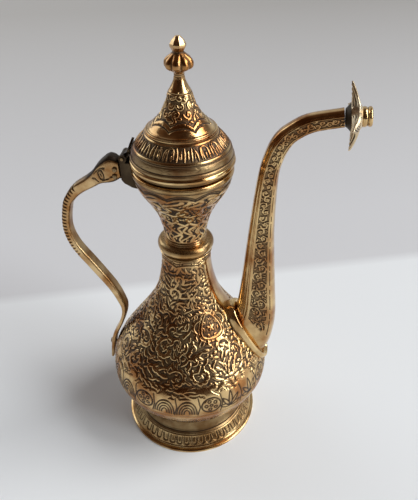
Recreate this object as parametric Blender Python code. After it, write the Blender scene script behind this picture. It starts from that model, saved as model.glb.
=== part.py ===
"""Engraved brass dallah coffee pot: a hinged spired lid, a curved spout and a cast bird-head handle.

The pot's axis is vertical. The spout points to +X, the handle to -X, and Y is across both.
All sizes in the tables are millimetres; the finished objects are in metres with +Z up.
"""

import math

import bmesh
import bpy
from mathutils import Matrix, Vector

MM = 0.001

# Driving dimensions, in millimetres
HEIGHT = 270.0
FOOT_RADIUS = 46.8
BELLY_RADIUS = 53.3
BELLY_Z = 52.0
NECK_RADIUS = 15.2
COLLAR_RADIUS = 17.1
MOUTH_RADIUS = 28.8
LID_RADIUS = 29.4
WALL = 1.6
GAP = 0.3

# Heights of the joints between the turned pieces
BOWL_FLOOR_Z = 20.8
BOWL_SEAM_Z = 46.0
COLLAR_Z = 144.8
CUP_Z = 153.0
BEAD_Z = 197.2
BEAD_TOP_Z = 201.0
RIM_Z = 203.8
DOME_Z = 206.4
SPIRE_Z = 222.9
SPIRE_TOP_Z = 250.5

# Hinge between the lid and the bracket behind the mouth
HINGE_X = -33.0
HINGE_Z = 204.6
PIN_RADIUS = 0.9
KNUCKLE_RADIUS = 2.2
KNUCKLE_HALF = 2.7
EAR_IN = 3.0
EAR_OUT = 5.0

# Spout end: petal collar and nozzle on one slightly rising axis
TIP_X = 84.9
TIP_Z = 233.4
TIP_RISE = 5.5
PETAL_REACH = 18.3
BORE_RADIUS = 3.5

BIG_STEPS = 32
SMALL_STEPS = 20


# ---------------------------------------------------------------- materials and scene helpers


def clear_scene():
    for obj in list(bpy.data.objects):
        bpy.data.objects.remove(obj, do_unlink=True)


def brass(name, colour, roughness):
    material = bpy.data.materials.new(name)
    material.use_nodes = True
    shader = material.node_tree.nodes["Principled BSDF"]
    shader.inputs["Base Color"].default_value = (*colour, 1.0)
    shader.inputs["Metallic"].default_value = 1.0
    shader.inputs["Roughness"].default_value = roughness
    return material


def empty(name, location, parent=None):
    frame = bpy.data.objects.new(name, None)
    frame.location = location
    frame.parent = parent
    bpy.context.scene.collection.objects.link(frame)
    return frame


def add_mesh(name, bm, parent, colour=None, roughness=0.35, pivot=(0.0, 0.0, 0.0)):
    """One object from a bmesh in metres about the pot's axis; pivot is where its parent stands."""
    bmesh.ops.remove_doubles(bm, verts=bm.verts, dist=1e-6)
    bmesh.ops.dissolve_degenerate(bm, edges=bm.edges, dist=1e-7)
    bmesh.ops.recalc_face_normals(bm, faces=bm.faces)
    bmesh.ops.translate(bm, verts=bm.verts, vec=-Vector(pivot))
    mesh = bpy.data.meshes.new(name)
    bm.to_mesh(mesh)
    bm.free()
    mesh.shade_smooth()
    mesh.set_sharp_from_angle(angle=math.radians(35))
    obj = bpy.data.objects.new(name, mesh)
    obj.parent = parent
    bpy.context.scene.collection.objects.link(obj)
    if colour is None:
        obj.hide_render = True
        obj.display_type = "WIRE"
    else:
        mesh.materials.append(brass(name, colour, roughness))
    return obj


def boolean(obj, other, operation):
    modifier = obj.modifiers.new(operation.title(), "BOOLEAN")
    modifier.operation = operation
    modifier.object = other
    modifier.solver = "EXACT"


# ---------------------------------------------------------------- outlines


def curve_through(points, per_span):
    """Points on a smooth Catmull-Rom curve through the given ones, which it keeps."""
    padded = [points[0]] + list(points) + [points[-1]]
    found = []
    for i in range(1, len(padded) - 2):
        p0, p1, p2, p3 = (Vector(p) for p in padded[i - 1 : i + 3])
        for k in range(per_span):
            t = k / per_span
            bend = 2 * p0 - 5 * p1 + 4 * p2 - p3
            twist = 3 * p1 - p0 - 3 * p2 + p3
            found.append(0.5 * (2 * p1 + (p2 - p0) * t + bend * t * t + twist * t**3))
    found.append(Vector(points[-1]))
    return [tuple(p) for p in found]


def offset(line, distance):
    """The line moved to its left by the distance, point by point."""
    moved = []
    for i, point in enumerate(line):
        before = Vector(line[max(i - 1, 0)])
        after = Vector(line[min(i + 1, len(line) - 1)])
        along = (after - before).normalized()
        moved.append(tuple(Vector(point) + distance * Vector((-along.y, along.x))))
    return moved


def inside_line(outer, wall):
    """A wall's inner face, running down, from its outer line that runs up; its ends are level."""
    inner = offset(outer, wall)[2:-2:2]
    low = (outer[0][0] - wall, outer[0][1])
    high = (outer[-1][0] - wall, outer[-1][1])
    return [high] + inner[::-1] + [low]


def bulge(radius, z_low, z_high, out, count=6):
    """Points of a rounded ring's outer side, from its lower edge to its upper edge."""
    middle = (z_low + z_high) / 2
    half = (z_high - z_low) / 2
    angles = [math.pi * (k / count - 0.5) for k in range(count + 1)]
    return [(radius + out * math.cos(a), middle + half * math.sin(a)) for a in angles]


# ---------------------------------------------------------------- solids


def turned(name, outline, steps, parent, colour=None, roughness=0.35, pivot=(0.0, 0.0, 0.0)):
    """A turned solid from a closed outline of (radius, height) points."""
    bm = bmesh.new()
    verts = [bm.verts.new((r * MM, 0.0, z * MM)) for r, z in outline]
    edges = [bm.edges.new((a, b)) for a, b in zip(verts, verts[1:] + verts[:1]) if a.co.x + b.co.x > 1e-9]
    bmesh.ops.spin(
        bm, geom=verts + edges, axis=(0, 0, 1), cent=(0, 0, 0), steps=steps, angle=2 * math.pi,
        use_merge=True,
    )
    return add_mesh(name, bm, parent, colour, roughness, pivot)


def lofted(name, rings, parent, colour=None, roughness=0.35, closed=False, pivot=(0.0, 0.0, 0.0)):
    """A solid through closed rings of points, capped at both ends unless the row of rings closes."""
    bm = bmesh.new()
    rows = [[bm.verts.new(Vector(p) * MM) for p in ring] for ring in rings]
    pairs = list(zip(rows, rows[1:]))
    if closed:
        pairs.append((rows[-1], rows[0]))
    else:
        bm.faces.new(rows[0])
        bm.faces.new(rows[-1])
    for low, high in pairs:
        for k in range(len(low)):
            n = (k + 1) % len(low)
            bm.faces.new((low[k], low[n], high[n], high[k]))
    return add_mesh(name, bm, parent, colour, roughness, pivot)


def prism(name, outline, half, parent, colour=None, pivot=(0.0, 0.0, 0.0)):
    """An (x, z) outline extruded to both sides of the middle plane."""
    rings = [[(x, y, z) for x, z in outline] for y in (-half, half)]
    return lofted(name, rings, parent, colour, pivot=pivot)


def rod(name, centre, radius, low, high, axis, parent, colour=None, steps=16, pivot=(0.0, 0.0, 0.0)):
    """A cylinder about a line through the centre along X, Y or Z, from low to high on that axis."""
    rings = []
    for place in (low, high):
        ring = []
        for k in range(steps):
            angle = 2 * math.pi * (k + 0.5) / steps
            u, v = radius * math.cos(angle), radius * math.sin(angle)
            offsets = {"X": (place, u, v), "Y": (u, place, v), "Z": (u, v, place)}[axis]
            ring.append(tuple(Vector(centre) + Vector(offsets)))
        rings.append(ring)
    return lofted(name, rings, parent, colour, pivot=pivot)


def rivet(name, centre, shank, head, half_grip, rise, axis, parent, colour):
    """A rivet with a low domed head on each side of its grip."""
    bm = bmesh.new()
    outline = [(0, -half_grip - rise), (head * 0.7, -half_grip - 0.7 * rise), (head, -half_grip)]
    outline += [(shank, -half_grip), (shank, half_grip), (head, half_grip)]
    outline += [(head * 0.7, half_grip + 0.7 * rise), (0, half_grip + rise)]
    verts = [bm.verts.new((r * MM, 0.0, z * MM)) for r, z in outline]
    edges = [bm.edges.new((a, b)) for a, b in zip(verts, verts[1:])]
    bmesh.ops.spin(
        bm, geom=verts + edges, axis=(0, 0, 1), cent=(0, 0, 0), steps=14, angle=2 * math.pi, use_merge=True
    )
    across = {"X": "Y", "Y": "X"}[axis]
    turn = Matrix.Rotation(math.pi / 2, 4, across)
    bmesh.ops.transform(bm, matrix=Matrix.Translation(Vector(centre) * MM) @ turn, verts=bm.verts)
    return add_mesh(name, bm, parent, colour, 0.3)


# ---------------------------------------------------------------- the pot's turned pieces

# Outer line of the body from the foot to the collar
BODY_LINE = curve_through(
    [
        (36.3, BOWL_FLOOR_Z + 0.2),
        (40.2, 25.2),
        (44.0, 30.0),
        (48.2, 36.0),
        (BELLY_RADIUS - 1.0, 44.0),
        (BELLY_RADIUS, BELLY_Z),
        (51.6, 62.0),
        (45.0, 74.0),
        (36.6, 86.0),
        (28.5, 98.0),
        (21.8, 110.0),
        (17.9, 122.0),
        (15.8, 134.0),
        (NECK_RADIUS, COLLAR_Z - GAP),
    ],
    2,
)
CUP_LINE = curve_through(
    [
        (12.9, CUP_Z),
        (12.8, 157.0),
        (14.0, 164.5),
        (16.4, 172.5),
        (20.0, 179.5),
        (24.0, 186.0),
        (27.0, 192.0),
        (28.0, BEAD_Z - GAP),
    ],
    1,
)


def body_radius(z):
    """The body's outer radius at a height."""
    for (r0, z0), (r1, z1) in zip(BODY_LINE, BODY_LINE[1:]):
        if z0 <= z <= z1:
            return r0 + (r1 - r0) * (z - z0) / (z1 - z0)
    return BODY_LINE[-1][0]


def split_line(line, low, high):
    """The part of the body's line between two heights, with its ends exactly on them."""
    inside = [(r, z) for r, z in line if low + 0.2 < z < high - 0.2]
    return [(body_radius(low), low)] + inside + [(body_radius(high), high)]


def build_foot(root):
    outer = [(FOOT_RADIUS, 0.0), (FOOT_RADIUS, 1.5), (45.2, 2.0), (44.2, 3.0), (40.4, 9.6), (39.8, 10.8)]
    outer += [(38.0, 13.0), (36.7, 16.2), (36.0, BOWL_FLOOR_Z - GAP)]
    inner = [(33.8, BOWL_FLOOR_Z - GAP), (34.5, 16.0), (36.2, 12.2), (38.4, 9.0), (41.6, 2.6), (42.2, 0.0)]
    turned("foot", outer + inner, BIG_STEPS, root, (0.72, 0.50, 0.17), 0.3)


def build_bowl(root):
    outer = split_line(BODY_LINE, BOWL_FLOOR_Z + 0.3, BOWL_SEAM_Z - GAP / 2)
    inner = inside_line(outer, WALL)
    floor_z = BOWL_FLOOR_Z + WALL
    inner = [p for p in inner if p[1] > floor_z + 0.5]
    outline = [(0.0, BOWL_FLOOR_Z), (35.6, BOWL_FLOOR_Z)] + outer + inner + [(35.8, floor_z), (0.0, floor_z)]
    turned("bowl", outline, BIG_STEPS, root, (0.66, 0.45, 0.16))


def spout_edges():
    """The spout's inner and outer edge in its own plane, sampled at the same places, base to tip."""
    inner = [(25.8, 97.5), (31.0, 101.0), (32.2, 103.5), (33.3, 109.0), (35.2, 128.0), (38.2, 163.0)]
    inner += [(41.6, 196.0), (44.6, 210.5), (49.0, 221.2), (55.5, 228.0), (65.5, 234.0), (83.0, 238.1)]
    outer = [(46.6, 60.5), (52.2, 66.8), (55.9, 77.5), (57.7, 97.0), (55.6, 127.0), (53.1, 163.0)]
    outer += [(53.2, 196.0), (55.2, 208.0), (58.6, 216.2), (62.5, 220.8), (70.5, 225.4), (84.3, 228.7)]
    return curve_through(inner, 2), curve_through(outer, 2)


def spout_depth(place):
    """Half the spout's thickness across its plane, at 0 for the base to 1 for the tip."""
    return 4.3 + 4.7 * (1.0 - place) ** 1.4


def spout_ring(inner, outer, depth, side, wall):
    """A C-shaped section of half the spout, from the seam round one side and back along the bore."""
    inner, outer = Vector((inner[0], 0, inner[1])), Vector((outer[0], 0, outer[1]))
    middle = (inner + outer) / 2
    across = (inner - outer) / 2
    angles = [math.radians(a) for a in (0, 24, 48, 90, 132, 156, 180)]
    ring = []
    for less in (0.0, wall):
        scale = (across.length - less) / across.length
        line = []
        for a in angles:
            flat = math.copysign(abs(math.cos(a)) ** 0.8, math.cos(a)) if abs(math.cos(a)) > 1e-6 else 0.0
            y = side * max((depth - less) * math.sin(a) ** 0.7 if math.sin(a) > 1e-6 else 0.0, GAP / 2)
            line.append(tuple(middle + across * scale * flat + Vector((0, y, 0))))
        ring += line if less == 0.0 else line[::-1]
    return ring


def spout_opening_cutter(root):
    """The oval way from the body into the spout, square to the body's wall there."""
    centre, normal = Vector((41.2, 0.0, 80.5)), Vector((0.87, 0.0, 0.49))
    up = Vector((-normal.z, 0.0, normal.x))
    rings = []
    for place in (-9.0, 5.0):
        ring = []
        for k in range(20):
            a = 2 * math.pi * k / 20
            beside = Vector((0, 6.0 * math.sin(a), 0))
            ring.append(tuple(centre + normal * place + up * 12.5 * math.cos(a) + beside))
        rings.append(ring)
    return lofted("spout_way_cutter", rings, root)


def build_shoulder(root):
    outer = split_line(BODY_LINE, BOWL_SEAM_Z + GAP / 2, COLLAR_Z - GAP)
    shoulder = turned("shoulder", outer + inside_line(outer, WALL), BIG_STEPS, root, (0.66, 0.45, 0.16))
    boolean(shoulder, spout_opening_cutter(root), "DIFFERENCE")
    hole = rod("tail_hole_cutter", (-53.0, 0.0, 56.0), 1.3, -5.0, 5.0, "X", root)
    boolean(shoulder, hole, "DIFFERENCE")


def build_collar(root):
    lip = [(15.9, COLLAR_Z), (16.2, COLLAR_Z + 0.6), (15.4, COLLAR_Z + 1.2)]
    ring = bulge(14.2, COLLAR_Z + 1.6, CUP_Z - GAP, COLLAR_RADIUS - 14.2)
    inside = [(11.4, CUP_Z - GAP), (11.4, 149.0), (13.2, COLLAR_Z)]
    turned("neck_collar", lip + ring + inside, BIG_STEPS, root, (0.78, 0.55, 0.2), 0.22)


def build_cup(root):
    turned("neck_cup", CUP_LINE + inside_line(CUP_LINE, WALL), BIG_STEPS, root, (0.68, 0.47, 0.17))


def build_bead(root):
    ring = bulge(27.8, BEAD_Z, BEAD_TOP_Z, MOUTH_RADIUS - 27.8, 4)
    inside = [(25.6, BEAD_TOP_Z), (25.6, BEAD_Z)]
    turned("mouth_bead", ring + inside, BIG_STEPS, root, (0.75, 0.53, 0.2), 0.25)


# ---------------------------------------------------------------- spout


def body_clearance(root):
    """A solid a little fatter than the body, that trims whatever is fixed on it."""
    outer = split_line(BODY_LINE, 50.0, 130.0)
    outer = [(r + 0.5, z) for r, z in outer]
    return turned("body_clearance", [(0.0, 50.0)] + outer + [(0.0, 130.0)], 64, root)


def build_spout(root, clearance):
    inner, outer = spout_edges()
    count = len(inner)
    for name, side in (("spout_half_left", 1), ("spout_half_right", -1)):
        depths = [spout_depth(k / (count - 1)) for k in range(count)]
        rings = [spout_ring(*station, side, 1.4) for station in zip(inner, outer, depths)]
        half = lofted(name, rings, root, (0.62, 0.42, 0.15))
        boolean(half, clearance, "DIFFERENCE")


def build_spout_flange(root, clearance):
    """The raised ring where the spout meets the body."""
    inner, outer = Vector((26.2, 0, 97.8)), Vector((47.6, 0, 60.6))
    normal = Vector((0.87, 0, 0.49))
    middle, across = (inner + outer) / 2, (inner - outer) / 2
    steps = 32
    rings = []
    for k in range(steps):
        a = 2 * math.pi * k / steps
        point = []
        for more, rise in ((1.0, 0.0), (3.6, 0.0), (3.6, 5.6), (3.0, 6.6), (1.8, 7.0), (1.0, 6.2)):
            scale = (across.length + more) / across.length
            cosine = math.copysign(abs(math.cos(a)) ** 0.8, math.cos(a))
            sine = math.copysign(abs(math.sin(a)) ** 0.8, math.sin(a))
            beside = Vector((0, (9.0 + more) * sine, 0))
            point.append(tuple(middle + across * scale * cosine + beside + normal * rise))
        rings.append(point)
    flange = lofted("spout_flange", rings, root, (0.7, 0.49, 0.18), 0.25, closed=True)
    boolean(flange, clearance, "DIFFERENCE")


def tip_point(along, up, side):
    """A point of the spout's end from its distance along, above and beside the rising axis."""
    rise = math.radians(TIP_RISE)
    x = TIP_X + along * math.cos(rise) - up * math.sin(rise)
    z = TIP_Z + along * math.sin(rise) + up * math.cos(rise)
    return (x, side, z)


def petal_radius(angle):
    """How far the collar of four pointed petals reaches at an angle round the spout's axis."""
    return 7.4 + (PETAL_REACH - 7.4) * (1.0 - abs(math.sin(2 * angle))) ** 1.15


def build_spout_flower(root):
    steps = 48
    rings = []
    for k in range(steps):
        angle = 2 * math.pi * k / steps
        reach = petal_radius(angle)
        swept = 5.4 - 3.6 * ((reach - 7.4) / (PETAL_REACH - 7.4)) ** 1.3
        section = [(-0.8, BORE_RADIUS), (-0.8, 4.7), (0.4, 5.2), (1.8, 5.8)]
        section += [(swept - 1.2, 0.45 * reach + 3.6), (swept - 0.5, reach), (swept + 0.3, reach)]
        section += [(swept + 0.9, 0.5 * reach + 3.2), (6.8, 6.2), (7.2, 5.2), (7.2, BORE_RADIUS)]
        rings.append([tip_point(x, r * math.cos(angle), r * math.sin(angle)) for x, r in section])
    lofted("spout_flower", rings, root, (0.72, 0.56, 0.3), 0.3, closed=True)


def build_nozzle(root):
    section = [(7.5, BORE_RADIUS), (7.5, 4.9), (8.0, 5.1), (9.2, 5.0), (9.6, 4.6), (10.0, 4.6)]
    section += [(10.4, 5.1), (11.6, 5.1), (12.2, 4.7), (12.2, BORE_RADIUS)]
    steps = SMALL_STEPS
    rings = []
    for k in range(steps):
        angle = 2 * math.pi * k / steps
        rings.append([tip_point(x, r * math.cos(angle), r * math.sin(angle)) for x, r in section])
    lofted("spout_nozzle", rings, root, (0.76, 0.5, 0.16), 0.25, closed=True)


# ---------------------------------------------------------------- handle and hinge bracket


def handle_stations():
    """(outer edge, inner edge, half depth) along the handle, from its tail to the bird's beak."""
    middle = [(-57.4, 43.0), (-56.2, 51.0), (-54.6, 60.0), (-52.3, 67.0), (-49.4, 73.0), (-46.9, 79.0)]
    middle += [(-45.1, 84.5), (-44.3, 89.5), (-45.0, 95.0), (-50.2, 108.0), (-61.0, 125.0), (-71.0, 140.5)]
    middle += [(-74.3, 154.0), (-71.8, 169.5), (-68.2, 176.2), (-63.0, 181.8)]
    thickness = [2.0, 2.8, 3.2, 3.0, 2.8, 2.8, 3.0, 3.6, 4.4, 5.4, 6.0, 5.8, 5.2, 5.4, 6.0, 7.0]
    stations = []
    for k, (point, thick) in enumerate(zip(middle, thickness)):
        before = Vector(middle[max(k - 1, 0)])
        after = Vector(middle[min(k + 1, len(middle) - 1)])
        along = (after - before).normalized()
        outward = Vector((-along.y, along.x)) * thick / 2
        stations.append((tuple(Vector(point) + outward), tuple(Vector(point) - outward), 3.9))
    head = [
        ((-57.6, 189.8), (-52.8, 184.0), 4.2),
        ((-53.2, 193.6), (-48.5, 186.6), 4.6),
        ((-49.4, 198.6), (-45.3, 187.6), 5.2),
        ((-45.6, 202.4), (-42.6, 188.0), 5.4),
        ((-42.0, 204.8), (-40.2, 188.6), 5.2),
        ((-38.8, 204.4), (-37.8, 189.8), 4.6),
        ((-36.4, 202.6), (-35.6, 191.5), 4.0),
    ]
    return stations + head


def handle_ring(outer, inner, depth):
    """A rounded rectangular section across the handle."""
    outer, inner = Vector((outer[0], 0, outer[1])), Vector((inner[0], 0, inner[1]))
    middle, across = (outer + inner) / 2, (outer - inner) / 2
    corners = [(1.0, 0.6), (0.66, 1.0), (-0.66, 1.0), (-1.0, 0.6)]
    corners += [(a, -b) for a, b in corners[::-1]]
    return [tuple(middle + across * a + Vector((0, depth * b, 0))) for a, b in corners]


def smooth_stations(stations, per_span):
    """The stations with smooth ones added between them."""
    outer = curve_through([s[0] for s in stations], per_span)
    inner = curve_through([s[1] for s in stations], per_span)
    depth = curve_through([(k, s[2]) for k, s in enumerate(stations)], per_span)
    return [(o, i, d[1]) for o, i, d in zip(outer, inner, depth)]


RIVET_PLACES = [(-38.0, 197.6), (-38.4, 193.4)]


def build_handle(root):
    rings = [handle_ring(*station) for station in smooth_stations(handle_stations(), 2)]
    handle = lofted("handle", rings, root, (0.7, 0.48, 0.17))
    slot_side = [(-41.3, 185.0), (-33.0, 185.0), (-33.0, 201.95), (-41.3, 201.95)]
    slot = prism("beak_slot_cutter", slot_side, 1.8, root)
    boolean(handle, slot, "DIFFERENCE")
    for k, (x, z) in enumerate(RIVET_PLACES):
        hole = rod(f"beak_hole_cutter_{k}", (x, 0, z), 1.1, -9.0, 9.0, "Y", root)
        boolean(handle, hole, "DIFFERENCE")
    tail = rod("tail_bore_cutter", (-55.0, 0.0, 56.0), 1.3, -6.0, 6.0, "X", root)
    boolean(handle, tail, "DIFFERENCE")


def mouth_clearance(root):
    """A solid a little fatter than the cup and the mouth bead, that trims the bracket."""
    outline = [(0.0, 178.0)] + [(r + 0.35, z) for r, z in CUP_LINE if z > 177.0]
    outline += [(MOUTH_RADIUS + 0.35, BEAD_Z - GAP), (MOUTH_RADIUS + 0.35, BEAD_TOP_Z + 3.0)]
    outline.append((0.0, BEAD_TOP_Z + 3.0))
    return turned("mouth_clearance", outline, 64, root)


def build_bracket(root):
    """The block behind the mouth: a lug under the rim, a tongue in the beak and the hinge's two ears."""
    side = [(-34.6, 202.0), (-34.6, 191.5), (-33.0, 189.4), (-28.5, 187.0), (-21.0, 185.6), (-21.0, 202.0)]
    bracket = prism("hinge_bracket", side, EAR_OUT, root, (0.42, 0.3, 0.14))
    boolean(bracket, mouth_clearance(root), "DIFFERENCE")
    tongue = prism("tongue_part", [(-40.6, 190.6), (-33.8, 190.6), (-33.8, 201.3), (-40.6, 201.3)], 1.5, root)
    boolean(bracket, tongue, "UNION")
    for k, (low, high) in enumerate(((-EAR_OUT, -EAR_IN), (EAR_IN, EAR_OUT))):
        ear = rod(f"ear_part_{k}", (HINGE_X, 0, HINGE_Z), 2.3, low, high, "Y", root)
        boolean(bracket, ear, "UNION")
        web_side = [(-34.5, 201.0), (-31.6, 201.0), (-31.6, HINGE_Z), (-34.5, HINGE_Z)]
        web_rings = [[(x, y, z) for x, z in web_side] for y in (low + 0.01, high - 0.01)]
        web = lofted(f"ear_web_{k}", web_rings, root)
        boolean(bracket, web, "UNION")
    pin_hole = rod("pin_hole_cutter", (HINGE_X, 0, HINGE_Z), PIN_RADIUS + GAP, -8.0, 8.0, "Y", root)
    boolean(bracket, pin_hole, "DIFFERENCE")
    for k, (x, z) in enumerate(RIVET_PLACES):
        hole = rod(f"tongue_hole_cutter_{k}", (x, 0, z), 1.1, -3.0, 3.0, "Y", root)
        boolean(bracket, hole, "DIFFERENCE")


def build_fasteners(root):
    pin_half = EAR_OUT + 0.8
    rod("hinge_pin", (HINGE_X, 0, HINGE_Z), PIN_RADIUS, -pin_half, pin_half, "Y", root, (0.5, 0.36, 0.16))
    for k, (x, z) in enumerate(RIVET_PLACES):
        rivet(f"beak_rivet_{k + 1}", (x, 0, z), 0.8, 1.6, 5.15, 0.7, "Y", root, (0.8, 0.6, 0.28))
    rivet("tail_rivet", (-54.0, 0, 56.0), 1.0, 2.1, 3.35, 0.8, "X", root, (0.78, 0.58, 0.26))


# ---------------------------------------------------------------- lid


def build_lid(frame, pivot):
    def lathe(name, outline, colour, roughness=0.35, steps=BIG_STEPS):
        turned(name, outline, steps, frame, colour, roughness, pivot)

    bezel = [(22.8, BEAD_TOP_Z - 4.2), (24.6, BEAD_TOP_Z - 4.2), (24.6, BEAD_TOP_Z + GAP)]
    bezel += [(27.2, BEAD_TOP_Z + GAP), (27.2, RIM_Z - GAP), (22.8, RIM_Z - GAP)]
    lathe("lid_bezel", bezel, (0.4, 0.29, 0.13))

    rim = [(23.0, RIM_Z), (28.9, RIM_Z), (LID_RADIUS, RIM_Z + 0.5), (LID_RADIUS, 205.4)]
    rim += [(28.8, DOME_Z - GAP), (23.0, DOME_Z - GAP)]
    lathe("lid_rim", rim, (0.85, 0.65, 0.28), 0.2)

    dome = [(28.8, DOME_Z), (28.9, 208.2), (28.2, 208.7), (27.7, 211.0), (26.9, 212.9), (26.9, 214.0)]
    dome += [(25.6, 214.8), (24.4, 216.6), (22.8, 218.4), (20.9, 220.4), (19.6, 221.6), (19.6, SPIRE_Z - GAP)]
    dome_inside = [(16.6, SPIRE_Z - GAP), (18.6, 220.2), (22.4, 216.6)]
    dome_inside += [(24.6, 213.2), (26.2, 209.0), (26.6, DOME_Z)]
    lathe("lid_dome", dome + dome_inside, (0.6, 0.41, 0.16))

    flare = [(19.2, SPIRE_Z), (19.3, SPIRE_Z + 0.7), (18.0, SPIRE_Z + 1.1)]
    cone = [(17.0, 224.6), (14.8, 227.2), (12.3, 229.9), (10.4, 232.6), (7.9, 238.0), (6.4, 242.8)]
    peak = [(6.0, 243.4), (4.5, 246.0), (3.3, 248.6), (2.9, SPIRE_TOP_Z)]
    bore = [(1.5, SPIRE_TOP_Z), (1.5, 240.0), (5.4, 239.6), (8.6, 233.0), (12.0, 227.8)]
    bore += [(16.2, 224.0), (17.2, SPIRE_Z)]
    lathe("lid_spire", flare + cone + peak + bore, (0.72, 0.5, 0.18), 0.3, 32)

    build_hinge_leaf(frame, pivot)
    build_finial(frame, pivot)


def build_hinge_leaf(frame, pivot):
    """The leaf-shaped tab lying on the dome, with the hinge's middle knuckle."""
    side = [(-33.0, 206.6), (-31.4, 207.6), (-30.3, 208.6), (-29.7, 209.6), (-28.5, 213.4), (-27.6, 215.6)]
    side += [(-26.4, 215.2), (-27.5, 213.2), (-28.7, 209.1), (-29.3, 208.6), (-29.3, 206.6)]
    side += [(-31.0, 205.4), (-32.0, 204.6)]
    leaf = prism("hinge_leaf", side, 6.0, frame, (0.45, 0.32, 0.14), pivot)
    half = [(2.6, 203.0), (2.6, 207.0), (4.4, 208.8), (4.4, 210.4), (2.8, 213.0)]
    plan = half + [(0.0, 216.0)] + [(-y, z) for y, z in half[::-1]]
    sections = [[(x, y, z) for y, z in plan] for x in (-36.0, -20.0)]
    shape = lofted("leaf_plan_part", sections, frame, pivot=pivot)
    boolean(leaf, shape, "INTERSECT")
    axis = (HINGE_X, 0, HINGE_Z)
    knuckle = rod("knuckle_part", axis, KNUCKLE_RADIUS, -KNUCKLE_HALF, KNUCKLE_HALF, "Y", frame, pivot=pivot)
    boolean(leaf, knuckle, "UNION")
    bore = rod("knuckle_bore_cutter", axis, PIN_RADIUS + GAP, -8.0, 8.0, "Y", frame, pivot=pivot)
    boolean(leaf, bore, "DIFFERENCE")


def build_finial(frame, pivot):
    """The lobed and faceted knob, the stud that holds it and the nut under the spire's top."""
    lobed = [(2.7, 250.9), (2.9, 252.4), (4.6, 253.6), (7.0, 255.0), (7.6, 257.0), (6.8, 259.2)]
    lobed += [(4.4, 261.2), (2.7, 262.5)]
    bud = [(3.4, 263.6), (4.3, 265.4), (3.9, 266.6), (1.7, HEIGHT - 0.5), (1.2, HEIGHT)]
    steps = 32
    rings = []
    for k in range(steps):
        angle = 2 * math.pi * k / steps
        ring = []
        for r, z in lobed:
            share = min(1.0, max(0.0, (r - 2.9) / 3.0))
            lobe = 1.0 - 0.13 * (1.0 - abs(math.cos(4 * angle))) * share
            ring.append((r * lobe * math.cos(angle), r * lobe * math.sin(angle), z))
        for r, z in bud:
            facet = math.cos(math.pi / 8) / math.cos((angle + math.pi / 8) % (math.pi / 4) - math.pi / 8)
            ring.append((r * facet * math.cos(angle), r * facet * math.sin(angle), z))
        ring += [(0.0, 0.0, HEIGHT), (0.0, 0.0, 255.2)]
        ring += [(1.5 * math.cos(angle), 1.5 * math.sin(angle), z) for z in (255.2, 250.9)]
        rings.append(ring)
    lofted("finial", rings, frame, (0.74, 0.52, 0.19), 0.28, closed=True, pivot=pivot)
    rod("finial_stud", (0, 0, 0), 1.15, 235.6, 254.8, "Z", frame, (0.6, 0.45, 0.2), 12, pivot)

    hexagon = [(math.cos(math.radians(60 * k)) * 2.9, math.sin(math.radians(60 * k)) * 2.9) for k in range(6)]
    hole = [(math.cos(math.radians(60 * k)) * 1.5, math.sin(math.radians(60 * k)) * 1.5) for k in range(6)]
    sections = []
    for (ox, oy), (hx, hy) in zip(hexagon, hole):
        sections.append([(hx, hy, 237.0), (ox, oy, 237.0), (ox, oy, 239.2), (hx, hy, 239.2)])
    lofted("finial_nut", sections, frame, (0.5, 0.38, 0.18), closed=True, pivot=pivot)


# ---------------------------------------------------------------- assembly


def centre_over_origin(root):
    """Moves the whole pot along X so that the origin lies under the middle of its length."""
    bpy.context.view_layer.update()
    graph = bpy.context.evaluated_depsgraph_get()
    reach = []
    for obj in bpy.context.scene.objects:
        if obj.type == "MESH" and not obj.hide_render:
            solid = obj.evaluated_get(graph)
            reach += [(solid.matrix_world @ vert.co).x for vert in solid.data.vertices]
    root.location.x = -(min(reach) + max(reach)) / 2


def main():
    clear_scene()
    root = empty("pot_axis", (0.0, 0.0, 0.0))
    build_foot(root)
    build_bowl(root)
    build_shoulder(root)
    build_collar(root)
    build_cup(root)
    build_bead(root)
    clearance = body_clearance(root)
    build_spout(root, clearance)
    build_spout_flange(root, clearance)
    build_spout_flower(root)
    build_nozzle(root)
    build_handle(root)
    build_bracket(root)
    build_fasteners(root)
    pivot = (HINGE_X * MM, 0.0, HINGE_Z * MM)
    build_lid(empty("lid_hinge", pivot, root), pivot)
    centre_over_origin(root)


main()
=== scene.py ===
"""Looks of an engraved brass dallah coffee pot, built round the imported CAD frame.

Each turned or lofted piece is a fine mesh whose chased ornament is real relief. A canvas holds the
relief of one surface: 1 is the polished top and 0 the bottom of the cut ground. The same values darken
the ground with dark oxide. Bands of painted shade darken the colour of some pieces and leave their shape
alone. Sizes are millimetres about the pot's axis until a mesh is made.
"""

import math
import random

import bpy
import numpy as np
from mathutils import Matrix, Vector


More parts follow.
